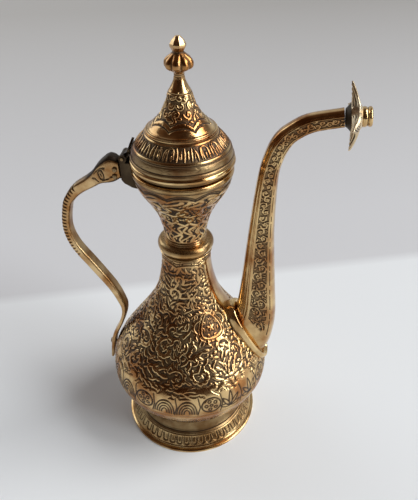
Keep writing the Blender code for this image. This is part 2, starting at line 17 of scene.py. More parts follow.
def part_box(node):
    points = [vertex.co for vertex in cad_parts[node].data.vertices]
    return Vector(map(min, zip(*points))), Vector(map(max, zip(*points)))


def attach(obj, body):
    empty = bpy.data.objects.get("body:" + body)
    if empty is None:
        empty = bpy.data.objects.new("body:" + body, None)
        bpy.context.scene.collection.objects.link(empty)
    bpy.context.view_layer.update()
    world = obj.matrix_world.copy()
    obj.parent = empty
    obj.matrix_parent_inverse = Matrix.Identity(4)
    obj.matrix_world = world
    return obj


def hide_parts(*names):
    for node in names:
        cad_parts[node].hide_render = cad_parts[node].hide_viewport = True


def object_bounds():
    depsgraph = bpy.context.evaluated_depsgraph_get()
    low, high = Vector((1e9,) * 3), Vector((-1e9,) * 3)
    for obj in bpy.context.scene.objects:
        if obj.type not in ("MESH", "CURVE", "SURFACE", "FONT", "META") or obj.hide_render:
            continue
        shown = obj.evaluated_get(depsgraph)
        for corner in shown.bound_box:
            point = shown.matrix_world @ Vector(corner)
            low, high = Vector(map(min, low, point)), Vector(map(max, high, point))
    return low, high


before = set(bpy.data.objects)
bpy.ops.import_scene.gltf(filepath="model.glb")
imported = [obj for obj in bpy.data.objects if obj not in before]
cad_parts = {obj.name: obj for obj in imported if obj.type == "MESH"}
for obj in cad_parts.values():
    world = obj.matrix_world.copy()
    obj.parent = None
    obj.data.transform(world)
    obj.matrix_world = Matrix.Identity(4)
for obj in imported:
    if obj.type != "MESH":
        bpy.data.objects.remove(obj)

MM = 0.001
CAD_LOW, CAD_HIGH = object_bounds()
FOOT_LOW, FOOT_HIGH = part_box("foot")
AXIS_X = (FOOT_LOW.x + FOOT_HIGH.x) / 2

# The CAD's driving sizes that the looks need, in millimetres about the pot's axis
HEIGHT = 270.0
FOOT_RADIUS = 46.8
BELLY_RADIUS = 53.3
NECK_RADIUS = 15.2
COLLAR_RADIUS = 17.1
MOUTH_RADIUS = 28.8
LID_RADIUS = 29.4
WALL = 1.6
BOWL_FLOOR_Z = 20.8
BOWL_SEAM_Z = 46.0
COLLAR_Z = 144.8
CUP_Z = 153.0
BEAD_Z = 197.2
BEAD_TOP_Z = 201.0
RIM_Z = 203.8
DOME_Z = 206.4
SPIRE_Z = 222.9
SPIRE_TOP_Z = 250.5
TIP_X = 84.9
TIP_Z = 233.4
TIP_RISE = math.radians(5.5)
PETAL_REACH = 18.3
BORE_RADIUS = 3.5

# Camera: where it stands about the pot's axis, and how it is turned
CAMERA_DISTANCE = 272.0
CAMERA_HEIGHT = 341.0
CAMERA_ROUND = math.radians(12.0)
CAMERA_PITCH = math.radians(36.3)
CAMERA_YAW = math.radians(3.36)
CAMERA_ROLL = math.radians(-0.33)
CAMERA_LENS = 39.17

rng = random.Random(7)

ANY_TURN = 6.28  # random turns are drawn from 0 to this
TOUCH_STEP = 0.34  # millimetres between two touches of the tool along a stroke
GROOVE_CURVE = 1.6  # how steeply a groove's side rises from its bottom


# ---- lines


def along(line):
    """The distance of each point of a line from its start."""
    return np.concatenate([[0.0], np.cumsum(np.linalg.norm(np.diff(line, axis=0), axis=1))])


def resample(line, step):
    """The same line with even steps of about this size."""
    line = np.asarray(line, float)
    run = along(line)
    places = np.linspace(0.0, run[-1], max(2, int(round(run[-1] / step)) + 1))
    return np.stack([np.interp(places, run, line[:, k]) for k in range(line.shape[1])], 1)


def smooth(points, per_span=16):
    """A Catmull-Rom curve through the points."""
    points = np.asarray(points, float)
    padded = np.vstack([2 * points[0] - points[1], points, 2 * points[-1] - points[-2]])
    t = (np.arange(per_span) / per_span)[:, None]
    found = []
    for p0, p1, p2, p3 in zip(padded, padded[1:], padded[2:], padded[3:]):
        bend = 2 * p0 - 5 * p1 + 4 * p2 - p3
        twist = 3 * p1 - p0 - 3 * p2 + p3
        found.append(0.5 * (2 * p1 + (p2 - p0) * t + bend * t**2 + twist * t**3))
    return np.vstack(found + [points[-1:]])


def softened(points, step, radius):
    """A broken line with even steps and its corners rounded off over about this radius."""
    line = resample(points, step)
    for _ in range(max(1, int((radius / step) ** 2))):
        line[1:-1] = 0.25 * line[:-2] + 0.5 * line[1:-1] + 0.25 * line[2:]
    return line


def left_of(line):
    """Unit vectors square to a plane line, on its left."""
    ahead = np.gradient(line, axis=0)
    ahead /= np.linalg.norm(ahead, axis=1)[:, None]
    return np.stack([-ahead[:, 1], ahead[:, 0]], 1)


def bulge(radius, z_low, z_high, out, count=14):
    """A rounded ring's outer side, from its lower edge to its upper edge."""
    angle = np.linspace(-math.pi / 2, math.pi / 2, count)
    middle, half = (z_low + z_high) / 2, (z_high - z_low) / 2
    return np.stack([radius + out * np.cos(angle), middle + half * np.sin(angle)], 1)


def turns(count):
    """The angles of a whole turn, at even steps."""
    return 2 * math.pi * np.arange(count) / count


# ---- the canvas of a surface's relief


class Canvas:
    """Relief over a grid of rows and columns; widths are the millimetres across one column, row by row."""

    def __init__(self, widths, step, columns, wraps, base, heights=None):
        self.widths = np.asarray(widths, float)
        self.step = step
        self.columns = columns
        self.wraps = wraps
        self.heights = heights
        self.raised = np.full((len(widths), columns), float(base))
        # Painted shade per row, 1 where none is painted; it darkens colour and leaves the shape alone
        self.painted_shade = np.ones(len(widths))

    def row_of(self, height):
        return float(np.interp(height, self.heights, np.arange(len(self.heights))))

    def column_of(self, share):
        return share * self.columns

    def window(self, column, row, radius):
        low = max(int(row - radius / self.step), 0)
        high = min(int(row + radius / self.step) + 2, len(self.widths))
        if low >= high:
            return None
        width = self.widths[min(max(int(row), 0), len(self.widths) - 1)]
        reach = radius / width
        columns = np.arange(math.floor(column - reach), math.ceil(column + reach) + 1)
        if not self.wraps:
            columns = columns[(columns >= 0) & (columns < self.columns)]
            if not len(columns):
                return None
        rows = np.arange(low, high)
        away = np.hypot((columns - column)[None, :] * width, (rows - row)[:, None] * self.step)
        return np.ix_(rows, columns % self.columns), away

    def mark(self, place, away, radius, carve, level):
        """Raises a rounded ridge over a place, or cuts a groove into it, by the distance from its middle."""
        if carve:
            level = 0.0 if level is None else level
            shape = level + (1.0 - level) * np.clip(away / radius, 0.0, 1.0) ** GROOVE_CURVE
            self.raised[place] = np.minimum(self.raised[place], shape)
        else:
            shape = np.sqrt(np.clip(1.0 - (away / radius) ** 2, 0.0, 1.0))
            self.raised[place] = np.maximum(self.raised[place], shape)

    def dab(self, column, row, radius, carve=False, level=None):
        """One touch of the tool: a bump, or a pit if it carves."""
        found = self.window(column, row, radius)
        if found:
            self.mark(*found, radius, carve, level)

    def stroke(self, column, row, points, radii, carve=False, level=None):
        """Draws along points given in millimetres from (column, row), across and up."""
        points = np.atleast_2d(np.asarray(points, float))
        radii = np.broadcast_to(np.asarray(radii, float), len(points))
        if len(points) > 1:
            run = along(points)
            places = np.linspace(0.0, run[-1], max(2, int(run[-1] / TOUCH_STEP) + 1))
            radii = np.interp(places, run, radii)
            points = np.stack([np.interp(places, run, points[:, k]) for k in (0, 1)], 1)
        for (x, y), radius in zip(points, radii):
            at = row + y / self.step
            width = self.widths[min(max(int(at), 0), len(self.widths) - 1)]
            self.dab(column + x / width, at, radius, carve, level)

    def motif(self, column, row, strokes, turn=0.0, scale=1.0, carve=False, level=None):
        """Draws a motif, a list of (points, radii), turned and scaled about (column, row)."""
        c, s = math.cos(turn) * scale, math.sin(turn) * scale
        spin = np.array([[c, s], [-s, c]])
        for points, radii in strokes:
            self.stroke(column, row, np.asarray(points) @ spin, radii, carve, level)

    def ring(self, height, radius, carve=False, level=None):
        """A line all the way round at a height."""
        away = np.abs(np.arange(len(self.widths)) - self.row_of(height)) * self.step
        self.mark(slice(None), away[:, None], radius, carve, level)

    def cut_rings(self, *rings):
        """Grooves all the way round, each a (height, radius, level of its bottom)."""
        for height, radius, level in rings:
            self.ring(height, radius, True, level)

    def fill(self, low, high, level):
        """Sets the band between two heights to one level."""
        first, last = int(round(self.row_of(low))), int(round(self.row_of(high)))
        self.raised[first : last + 1] = level

    def paint_shade(self, low, high, level):
        """Paints shade over the band between two heights, softly at its edges, and leaves its shape alone."""
        inside = np.minimum(self.heights - low, high - self.heights)
        self.painted_shade = np.minimum(self.painted_shade, 1.0 - (1.0 - level) * np.clip(0.5 + inside, 0.0, 1.0))

    def anywhere(self, low, high):
        """A random column and a random row between two heights."""
        return rng.uniform(0, self.columns), self.row_of(rng.uniform(low, high))

    def is_bare(self, column, row, radius):
        found = self.window(column, row, radius)
        return bool(found) and float(self.raised[found[0]].max()) < 0.25

    def lighten_ground(self, level):
        """Leaves the ground dark beside the raised parts and lighter in the open."""
        near = self.raised.copy()
        for axis in (0, 1):
            for _ in range(3):
                near = (np.roll(near, 1, axis) + near + np.roll(near, -1, axis)) / 3
        self.raised = np.maximum(self.raised, np.clip(level - 1.1 * near, 0.0, level))

    def wave(self, height, rises, radius, carve=False, level=None):
        """A line round the surface whose height above the given one is rises[k] at even steps."""
        row = self.row_of(height)
        columns = np.linspace(0.0, self.columns, len(rises), endpoint=False)
        for column, rise in zip(columns, rises):
            self.dab(column, row + rise / self.step, radius, carve, level)


# ---- motifs, in millimetres


def leaf(length, width, bend=0.0, start=(0.0, 0.0), heading=0.0):
    """A pointed leaf from its stalk; bend is its turn over its length, in radians."""
    t = np.linspace(0.0, 1.0, 9)
    angle = heading + bend * t
    steps = np.stack([np.cos(angle), np.sin(angle)], 1) * (length / 8)
    points = np.asarray(start) + np.vstack([[0.0, 0.0], np.cumsum(steps[:-1], axis=0)])
    return points, 0.16 + 0.5 * width * np.sin(math.pi * (0.12 + 0.8 * t)) ** 1.2


def petal(length, width, heading=0.0, start=(0.0, 0.0)):
    """The outline of a pointed petal, as one closed line."""
    t = np.linspace(0.0, 1.0, 9)
    side = 0.5 * width * np.sin(math.pi * t) ** 0.8
    outline = np.vstack([np.stack([length * t, side], 1), np.stack([length * t, -side], 1)[::-1]])
    c, s = math.cos(heading), math.sin(heading)
    return np.asarray(start) + outline @ np.array([(c, s), (-s, c)]), 0.36


def trefoil(size, heading=0.0, start=(0.0, 0.0)):
    return [leaf(size, 0.42 * size, 0.0, start, heading + turn) for turn in (-1.0, 0.0, 1.0)]


def rosette(size, petals=5):
    strokes = [leaf(size, 0.5 * size, 0.0, (0.0, 0.0), 2 * math.pi * k / petals) for k in range(petals)]
    return strokes + [([(0.0, 0.0)], 0.3 * size)]


def scroll(size, hand, turns=1.3, leaves=6, weight=1.0):
    """A spiral stem with leaves along its outside and a trefoil in its eye; weight thickens it."""
    t = np.linspace(0.0, 1.0, 48)
    angle = hand * t * turns * 2 * math.pi
    reach = size * (1.0 - 0.84 * t**0.8)
    points = np.stack([reach * np.cos(angle), reach * np.sin(angle)], 1)
    strokes = [(points, weight * np.linspace(0.88, 0.6, len(t)))]
    for k in range(leaves):
        i = int(3 + k * 34 / leaves)
        ahead = math.atan2(*(points[i + 1] - points[i])[::-1])
        outward = ahead - hand * 0.75
        strokes.append(leaf(0.52 * size, 0.3 * weight * size, hand * 1.3, points[i], outward))
    strokes += trefoil(0.36 * size, angle[-1] + hand * 2.0, points[-1] * 0.6)
    return strokes


def branch(length, hand):
    """A short curved stem with paired leaves and a bud."""
    t = np.linspace(0.0, 1.0, 12)
    points = np.stack([length * (t - 0.5), hand * 0.25 * length * np.sin(math.pi * t)], 1)
    strokes = [(points, 0.6)]
    for k in (2, 5, 8):
        for side in (-1, 1):
            strokes.append(leaf(0.34 * length, 0.18 * length, -side * 0.6, points[k], side * 0.9))
    return strokes + [leaf(0.4 * length, 0.22 * length, 0.0, points[-1], 0.0)]


def arabesque(canvas, rows_of_scrolls, fillers, low, high):
    """Rows of leafy scrolls of (height, size), then flowing leaves wherever the ground is still bare."""
    for number, (height, size) in enumerate(rows_of_scrolls):
        row = canvas.row_of(height)
        around = canvas.widths[int(row)] * canvas.columns
        count = max(3, int(round(around / (2.5 * size))))
        for k in range(count):
            column = canvas.column_of((k + 0.5 * (number % 2) + rng.uniform(-0.08, 0.08)) / count)
            hand = 1 if (k + number) % 2 else -1
            own = size * rng.uniform(0.8, 1.05)
            lift = rng.uniform(-0.15, 0.15) * size / canvas.step
            if rng.random() < 0.3:
                canvas.motif(column, row + lift, branch(1.9 * own, hand), rng.uniform(0, ANY_TURN))
            else:
                canvas.motif(
                    column, row + lift, scroll(own, hand, rng.uniform(0.8, 1.15), 7),
                    rng.uniform(0, ANY_TURN),
                )
    first, last = canvas.row_of(low), canvas.row_of(high)
    for attempt in range(fillers):
        column, row = rng.uniform(0, canvas.columns), rng.uniform(first, last)
        room = 0.95 if attempt < 0.6 * fillers else 0.62
        if canvas.is_bare(column, row, room):
            around = 2 * math.pi * column / canvas.columns
            flow = 1.5 + 1.2 * math.sin(3 * around + 0.09 * row) + 0.9 * math.sin(0.13 * row - 5 * around)
            length = rng.uniform(2.8, 6.4) * (1.0 if room > 0.7 else 0.45)
            one = leaf(length, rng.uniform(1.1, 2.1), rng.uniform(-1.7, 1.7), (-length / 2, 0.0))
            canvas.motif(column, row, [one], flow + rng.uniform(-0.6, 0.6))


def uneven(rows, columns, amount, seed):
    """Slow dents of hand-raised sheet, in millimetres: never outward, and as deep as twice the amount."""
    own = random.Random(seed)
    across = np.linspace(0.0, 2 * math.pi, columns, endpoint=False)[None, :]
    up = np.linspace(0.0, 1.0, rows)[:, None]
    total = np.zeros((rows, columns))
    for _ in range(14):
        lobes = own.randint(1, 11)
        waves = own.uniform(-5.0, 5.0)
        total += np.sin(
            lobes * across + waves * ANY_TURN * up + own.uniform(0, ANY_TURN)
        ) / (1.5 + 0.4 * lobes)
    return amount * (np.clip(total / 3.0, -1.0, 1.0) - 1.0)


# ---- brass finishes


def ramp(nodes, stops):
    node = nodes.new("ShaderNodeValToRGB")
    while len(node.color_ramp.elements) < len(stops):
        node.color_ramp.elements.new(0.5)
    for element, (place, colour) in zip(node.color_ramp.elements, stops):
        element.position = place
        element.color = (*colour, 1.0)
    return node


def noise(nodes, links, coordinates, scale, detail, output="Object"):
    node = nodes.new("ShaderNodeTexNoise")
    node.inputs["Scale"].default_value = scale
    node.inputs["Detail"].default_value = detail
    links.new(coordinates.outputs[output], node.inputs["Vector"])
    return node.outputs["Fac"]


def mixed(nodes, links, factor, low, high, blend="MIX"):
    """A colour between two, by a factor; each is a colour or a node's output, or the factor a number."""
    node = nodes.new("ShaderNodeMix")
    node.data_type = "RGBA"
    node.blend_type = blend
    if isinstance(factor, float):
        node.inputs[0].default_value = factor
    else:
        links.new(factor, node.inputs[0])
    for socket, value in ((node.inputs[6], low), (node.inputs[7], high)):
        if isinstance(value, tuple):
            socket.default_value = (*value, 1.0)
        else:
            links.new(value, socket)
    return node.outputs[2]


def ranged(nodes, links, value, low, high, to_low, to_high):
    node = nodes.new("ShaderNodeMapRange")
    links.new(value, node.inputs["Value"])
    for name, number in (("From Min", low), ("From Max", high), ("To Min", to_low), ("To Max", to_high)):
        node.inputs[name].default_value = number
    return node.outputs["Result"]


def brass(name, bright, warm, ground, shine, dullness, relief=True, blotch=70.0, grain=2600.0):
    """Worn brass: polished on top, dark oxide in the cut ground, slow blotches of warmer, oxidised brass."""
    material = bpy.data.materials.new(name)
    material.use_nodes = True
    nodes, links = material.node_tree.nodes, material.node_tree.links
    shader = nodes["Principled BSDF"]
    place = nodes.new("ShaderNodeTexCoord")
    patch = noise(nodes, links, place, blotch, 4.0)
    fine = noise(nodes, links, place, grain, 2.0)
    top = mixed(nodes, links, ranged(nodes, links, patch, 0.38, 0.62, 0.0, 1.0), bright, warm)
    if relief:
        carved = nodes.new("ShaderNodeAttribute")
        carved.attribute_name = "relief"
        height = carved.outputs["Fac"]
    else:
        height = ranged(nodes, links, patch, 0.25, 0.4, 0.55, 1.0)
    clean = ranged(nodes, links, height, 0.1, 0.72, 0.0, 1.0)
    links.new(mixed(nodes, links, clean, ground, top), shader.inputs["Base Color"])
    links.new(ranged(nodes, links, height, 0.0, 0.5, 0.55, 1.0), shader.inputs["Metallic"])
    wear = nodes.new("ShaderNodeMath")
    wear.operation = "ADD"
    links.new(ranged(nodes, links, clean, 0.0, 1.0, dullness, shine), wear.inputs[0])
    links.new(ranged(nodes, links, fine, 0.3, 0.7, -0.05, 0.07), wear.inputs[1])
    links.new(wear.outputs[0], shader.inputs["Roughness"])
    bump = nodes.new("ShaderNodeBump")
    bump.inputs["Strength"].default_value = 0.25
    bump.inputs["Distance"].default_value = 0.00006
    links.new(fine, bump.inputs["Height"])
    links.new(bump.outputs["Normal"], shader.inputs["Normal"])
    return material


CHASED = brass("chased_brass", (0.71, 0.5, 0.24), (0.35, 0.16, 0.055), (0.035, 0.018, 0.008), 0.16, 0.45)
POLISHED = brass("polished_brass", (0.76, 0.55, 0.27), (0.40, 0.22, 0.08), (0.035, 0.018, 0.008), 0.13, 0.45)
CAST = brass("cast_brass", (0.74, 0.53, 0.27), (0.36, 0.17, 0.055), (0.02, 0.012, 0.006), 0.2, 0.5)
# Near-black brass on the hinge and the finial's nut and stud: painted shade where they sit in shadow
SHADOWED = brass(
    "dark_brass", (0.1, 0.07, 0.04), (0.05, 0.033, 0.02), (0.015, 0.01, 0.006), 0.38, 0.6, relief=False,
)
# Whitish brass for the spout's petals: a painted highlight on their front
HIGHLIT = brass("highlit_brass", (0.88, 0.76, 0.55), (0.62, 0.47, 0.28), (0.02, 0.012, 0.006), 0.3, 0.5)
PIN = brass("pin_brass", (0.4, 0.28, 0.14), (0.24, 0.16, 0.08), (0.05, 0.03, 0.015), 0.32, 0.5, relief=False)


# ---- meshes

SHARP_ANGLE = math.radians(62)
INSIDE_RELIEF = 0.45  # plain inner walls are duller than the polished outside


def add_piece(name, points, faces, relief, material, body, replaced):
    """A mesh object from points in millimetres about the pot's axis, riding on a CAD body."""
    places = np.asarray(points, float) * MM + (AXIS_X, 0.0, 0.0)
    mesh = bpy.data.meshes.new(name)
    mesh.vertices.add(len(places))
    mesh.vertices.foreach_set("co", places.astype(np.float32).ravel())
    corners = np.concatenate([f.ravel() for f in faces])
    sizes = np.concatenate([np.full(len(f), f.shape[1]) for f in faces])
    mesh.loops.add(len(corners))
    mesh.loops.foreach_set("vertex_index", corners.astype(np.int32))
    mesh.polygons.add(len(sizes))
    starts = np.concatenate([[0], np.cumsum(sizes)[:-1]])
    mesh.polygons.foreach_set("loop_start", starts.astype(np.int32))
    mesh.update(calc_edges=True)
    attribute = mesh.attributes.new("relief", "FLOAT", "POINT")
    attribute.data.foreach_set("value", np.asarray(relief, np.float32).ravel())
    mesh.shade_smooth()
    mesh.set_sharp_from_angle(angle=SHARP_ANGLE)
    mesh.materials.append(material)
    piece = bpy.data.objects.new(name, mesh)
    bpy.context.scene.collection.objects.link(piece)
    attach(piece, body)
    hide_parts(replaced)


def grid_faces(rows, columns, wrap_rows=True, wrap_columns=True):
    """Quads over a grid of points."""
    i = np.arange(rows if wrap_rows else rows - 1)[:, None]
    j = np.arange(columns if wrap_columns else columns - 1)[None, :]
    i2, j2 = (i + 1) % rows, (j + 1) % columns
    corners = (i * columns + j, i * columns + j2, i2 * columns + j2, i2 * columns + j)
    return np.stack([c.ravel() for c in corners], 1)


def turned_points(line, out, push, inner):
    """Points of a turned piece: its outer line, pushed along out by the relief, then its inner line."""
    columns = push.shape[1]
    outer = line[:, None, :] + out[:, None, :] * push[:, :, None]
    inner = np.repeat(np.asarray(inner, float)[:, None, :], columns, axis=1)
    return spun(*np.moveaxis(np.vstack([outer, inner]), 2, 0))


def spun(radius, height):
    """Points of a grid whose columns stand at even turns round the axis."""
    angle = turns(radius.shape[1])
    return np.stack([radius * np.cos(angle), radius * np.sin(angle), height], 2).reshape(-1, 3)


def turned(
    name, outer, inner, columns, step, material, body, replaced, draw, base=1.0, depth=0.4,
    dents=0.0,
):
    """A turned piece: its outer line upwards carries relief, and its inner line comes back down."""
    outer = resample(outer, step)
    step = along(outer)[-1] / (len(outer) - 1)
    widths = np.maximum(outer[:, 0], 0.3) * 2 * math.pi / columns
    canvas = Canvas(widths, step, columns, True, base, outer[:, 1])
    draw(canvas)
    push = depth * (canvas.raised - 1.0) + uneven(len(outer), columns, dents, len(name) + columns)
    points = turned_points(outer, -left_of(outer), push, inner)
    # The colour attribute is the relief times the painted shade of the bands
    relief = np.vstack(
        [canvas.raised * canvas.painted_shade[:, None], np.full((len(inner), columns), INSIDE_RELIEF)]
    )
    faces = grid_faces(len(outer) + len(inner), columns)
    add_piece(name, points, [faces], relief, material, body, replaced)


def plain(canvas):
    """No ornament."""


# ---- the body's turned pieces

BODY_POINTS = [
    (36.3, BOWL_FLOOR_Z + 0.2),
    (40.2, 25.2),
    (44.0, 30.0),
    (48.2, 36.0),
    (BELLY_RADIUS - 1.0, 44.0),
    (BELLY_RADIUS, 52.0),
    (51.6, 62.0),
    (45.0, 74.0),
    (36.6, 86.0),
    (28.5, 98.0),
    (21.8, 110.0),
    (17.9, 122.0),
    (15.8, 134.0),
    (NECK_RADIUS, COLLAR_Z),
]
BODY_LINE = smooth(BODY_POINTS)
BODY_COLUMNS = 660
BODY_SPLIT_Z = 86.0  # the shoulder's mesh is in two pieces, to keep each one light
BODY_RELIEF = 0.5
BODY_DENTS = 0.16


def body_part(low, high):
    """The body's outer line between two heights."""
    inside = BODY_LINE[(BODY_LINE[:, 1] > low) & (BODY_LINE[:, 1] < high)]
    ends = [(np.interp(z, BODY_LINE[:, 1], BODY_LINE[:, 0]), z) for z in (low, high)]
    return np.vstack([ends[:1], inside, ends[1:]])


def inner_wall(outer, wall, count):
    """A coarse line inside a wall, coming back down."""
    line = outer + left_of(outer) * wall
    line[0] = (outer[0, 0] - wall, outer[0, 1])
    line[-1] = (outer[-1, 0] - wall, outer[-1, 1])
    return resample(line, along(line)[-1] / count)[::-1]


def scallops(count, rise, steps):
    """Rises of a cusped border: arcs that meet in points."""
    t = np.arange(steps) / steps * count
    return rise * np.abs(np.sin(math.pi * t)) ** 0.7


def draw_foot(canvas):
    # Painted shade: the waist and the gadroon band sit under the bowl's overhang and are darkened
    canvas.paint_shade(10.9, 22.0, 0.38)
    canvas.paint_shade(3.2, 10.4, 0.62)
    canvas.cut_rings((2.3, 0.45, 0.15), (10.6, 0.5, 0.1), (12.3, 0.5, 0.15), (19.9, 0.8, 0.0))
    t = np.linspace(0.0, math.pi, 14)
    count = 51
    for k in range(count):
        column = canvas.column_of((k + rng.uniform(-0.05, 0.05)) / count)
        lean = rng.uniform(-0.12, 0.12)
        arc = np.stack([1.55 * np.cos(t), -1.5 * np.sin(t) - 0.9], 1)
        arm = np.array([(1.75, 2.9), (1.6, 1.0), (1.55, -0.9)])
        other = arm[::-1] * (-1, 1)
        shape = np.vstack([arm, arc, other])
        canvas.motif(column, canvas.row_of(6.6), [(shape, 0.5)], lean, carve=True, level=0.0)
    for _ in range(220):
        column, row = canvas.anywhere(16.8, 18.6)
        canvas.dab(column, row, rng.uniform(0.3, 0.7))


def build_foot():
    line = [(FOOT_RADIUS, 0.0), (FOOT_RADIUS, 1.5), (45.2, 2.0), (44.2, 3.0), (42.5, 6.2), (40.6, 9.4)]
    line += [(40.2, 10.6), (39.0, 11.8), (37.8, 13.2), (36.7, 16.2), (36.1, 19.0), (36.2, BOWL_FLOOR_Z)]
    inner = [(33.8, BOWL_FLOOR_Z), (34.5, 16.0), (36.2, 12.2), (38.4, 9.0), (41.6, 2.6), (42.2, 0.0)]
    outer = softened(line, 0.3, 0.5)
    turned(
        "foot_ring", outer, inner, 700, 0.32, POLISHED, "pot", "foot", draw_foot,
        base=0.92, depth=0.55, dents=0.06,
    )


def figure_panels(canvas, low, high, scale):
    """Bold outlined motifs round the lower body: dotted roundels, hatching, nested arches and petals."""
    middle, half = (low + high) / 2, (high - low) / 2 / scale
    row = canvas.row_of(middle)
    t = np.linspace(0.0, 2 * math.pi, 26)
    circle = np.stack([np.cos(t), np.sin(t)], 1)
    around = canvas.widths[int(row)] * canvas.columns
    count = int(around / (11.2 * scale))
    for k in range(count):
        column = canvas.column_of((k + rng.uniform(-0.05, 0.05)) / count)
        kind = rng.choice((1, 2, 3, 2)) if k % 3 else 0
        strokes = []
        if kind == 0:
            strokes.append((circle * (4.9, 4.4), 0.42))
            for j in range(5):
                spot = 2.6 * np.array([math.cos(1.257 * j + 0.6), math.sin(1.257 * j + 0.6)])
                strokes.append((spot + 0.8 * circle, 0.3))
            strokes.append((0.7 * circle, 0.3))
        elif kind == 1:
            for j in range(6):
                x = -4.8 + 1.7 * j
                strokes.append(([(x, -half), (x + 0.9, 0.0), (x + 2.4, half * 0.8)], 0.26))
            strokes.append(([(-5.2, half * 0.8), (-1.0, half * 0.55), (5.4, half * 0.9)], 0.4))
        elif kind == 2:
            for j in range(4):
                reach = half * (1.5 - 0.33 * j)
                arch = np.stack([(5.0 - 1.2 * j) * np.cos(t[:14]), reach * np.sin(t[:14]) - half * 0.8], 1)
                strokes.append((arch, 0.32))
        else:
            for lean in (-1.25, -0.62, 0.0, 0.62, 1.25):
                reach = half * (1.75 - 0.5 * abs(lean))
                strokes.append(petal(reach, 1.9, math.pi / 2 + lean, (0.0, -half * 0.85)))
        strokes = [(points, np.clip(radii, 0.35, 0.5) * (1.15 + 1.15 * scale)) for points, radii in strokes]
        canvas.motif(column, row, strokes, rng.uniform(-0.12, 0.12), scale, carve=True)
        edge = canvas.column_of((k + 0.5) / count)
        canvas.motif(edge, row, [([(-0.6, -half), (0.7, 0.0), (-0.2, half)], 0.85)], 0.0, scale, carve=True)


def draw_bowl(canvas):
    figure_panels(canvas, 28.5, 43.0, 1.0)
    canvas.cut_rings((22.6, 0.5, 0.1), (25.4, 0.42, 0.2), (26.8, 0.42, 0.2))
    rises = [0.7 * math.sin(0.21 * k) + 0.4 * math.sin(0.57 * k) for k in range(1500)]
    canvas.wave(43.6, rises, 0.5, carve=True)


def build_bowl():
    outer = body_part(BOWL_FLOOR_Z, BOWL_SEAM_Z)
    inner = list(inner_wall(outer, WALL, 10)[:-2])
    inner += [
        (33.0, BOWL_FLOOR_Z + WALL), (0.02, BOWL_FLOOR_Z + WALL), (0.02, BOWL_FLOOR_Z),
        (33.0, BOWL_FLOOR_Z),
    ]
    turned(
        "bowl_shell", outer, inner, BODY_COLUMNS, 0.42, CHASED, "pot", "bowl", draw_bowl,
        base=1.0, depth=0.45, dents=BODY_DENTS,
    )


def draw_body_field(canvas):
    """A flat band of bold motifs, the leafy field above it, and scalloped lines under the collar."""
    rows_of_scrolls = [(75.0, 7.0), (87.5, 7.2), (99.5, 6.4), (110.5, 5.4), (120.5, 4.8), (130.0, 4.4)]
    arabesque(canvas, rows_of_scrolls, 20000, 69.0, 139.0)
    medallion(canvas)
    canvas.lighten_ground(0.33)
    canvas.fill(BOWL_SEAM_Z, 69.5, 1.0)
    figure_panels(canvas, 49.5, 63.5, 1.3)
    for _ in range(230):
        column, row = canvas.anywhere(63.5, 69.0)
        one = leaf(rng.uniform(3.0, 7.0), 1.1, rng.uniform(-2.2, 2.2), (-2.5, 0.0))
        canvas.motif(column, row, [one], rng.uniform(-0.9, 0.9), carve=True)
    turn = turns(1400)
    canvas.wave(69.8, 0.9 * np.sin(17 * turn) + 0.5 * np.sin(41 * turn), 0.5, carve=True)
    canvas.cut_rings((48.2, 0.4, 0.1))
    around = (np.arange(canvas.columns) / canvas.columns + 0.5) % 1.0 - 0.5
    apart = np.abs(around)[None, :] * canvas.columns * canvas.widths[:, None]
    bare = np.clip((9.5 - apart) / 1.5, 0.0, 1.0) * (canvas.heights > 84.0)[:, None]
    bare = bare * (canvas.heights < 141.0)[:, None]
    canvas.raised = canvas.raised * (1.0 - bare) + 0.94 * bare
    canvas.fill(140.2, COLLAR_Z, 1.0)
    canvas.wave(138.6, scallops(7, 2.0, 900), 0.8)
    canvas.wave(139.9, scallops(7, 2.0, 900), 0.7, carve=True)
    canvas.wave(141.6, scallops(7, 1.6, 900), 0.6, carve=True)
    canvas.cut_rings((144.2, 0.6, 0.0))


def medallion(canvas):
    """A drop-shaped cartouche with a bold outline on each side of the belly."""
    t = np.linspace(0.0, 2 * math.pi, 60)
    for share in (0.865, 0.135):
        column, row = canvas.column_of(share), canvas.row_of(99.0)
        drop = np.stack(
            [7.2 * np.sin(t) * (1.0 - 0.25 * np.cos(t)), 8.2 * np.cos(t) + 1.2 * np.cos(2 * t)], 1,
        )
        place, away = canvas.window(column, row, 8.6)
        canvas.raised[place] = np.where(away < 8.2, 0.0, canvas.raised[place])
        canvas.stroke(column, row, drop, 0.95)
        canvas.stroke(column, row, drop * 1.25, 0.5)
        canvas.motif(column, row, rosette(3.0, 5), 0.3)
        for k in range(7):
            turn = 0.9 * k + 0.5
            across = 4.4 * math.cos(turn) / canvas.widths[int(row)]
            canvas.motif(column + across, row + 4.8 * math.sin(turn) / canvas.step, trefoil(1.7), turn)


def build_shoulder():
    outer = resample(body_part(BOWL_SEAM_Z, COLLAR_Z), 0.5)
    step = along(outer)[-1] / (len(outer) - 1)
    widths = outer[:, 0] * 2 * math.pi / BODY_COLUMNS
    canvas = Canvas(widths, step, BODY_COLUMNS, True, 0.0, outer[:, 1])
    draw_body_field(canvas)
    dents = uneven(len(outer), BODY_COLUMNS, BODY_DENTS, 5)
    split = int(np.searchsorted(outer[:, 1], BODY_SPLIT_Z))
    push = BODY_RELIEF * (canvas.raised - 1.0) + dents
    out = -left_of(outer)
    for name, part in (("shoulder_belly", slice(0, split + 1)), ("shoulder_neck", slice(split, None))):
        line, own = outer[part], push[part]
        inner = inner_wall(line, WALL, 10)
        points = turned_points(line, out[part], own, inner)
        relief = np.vstack([canvas.raised[part], np.full((len(inner), BODY_COLUMNS), INSIDE_RELIEF)])
        faces = grid_faces(len(line) + len(inner), BODY_COLUMNS)
        add_piece(name, points, [faces], relief, CHASED, "pot", "shoulder")


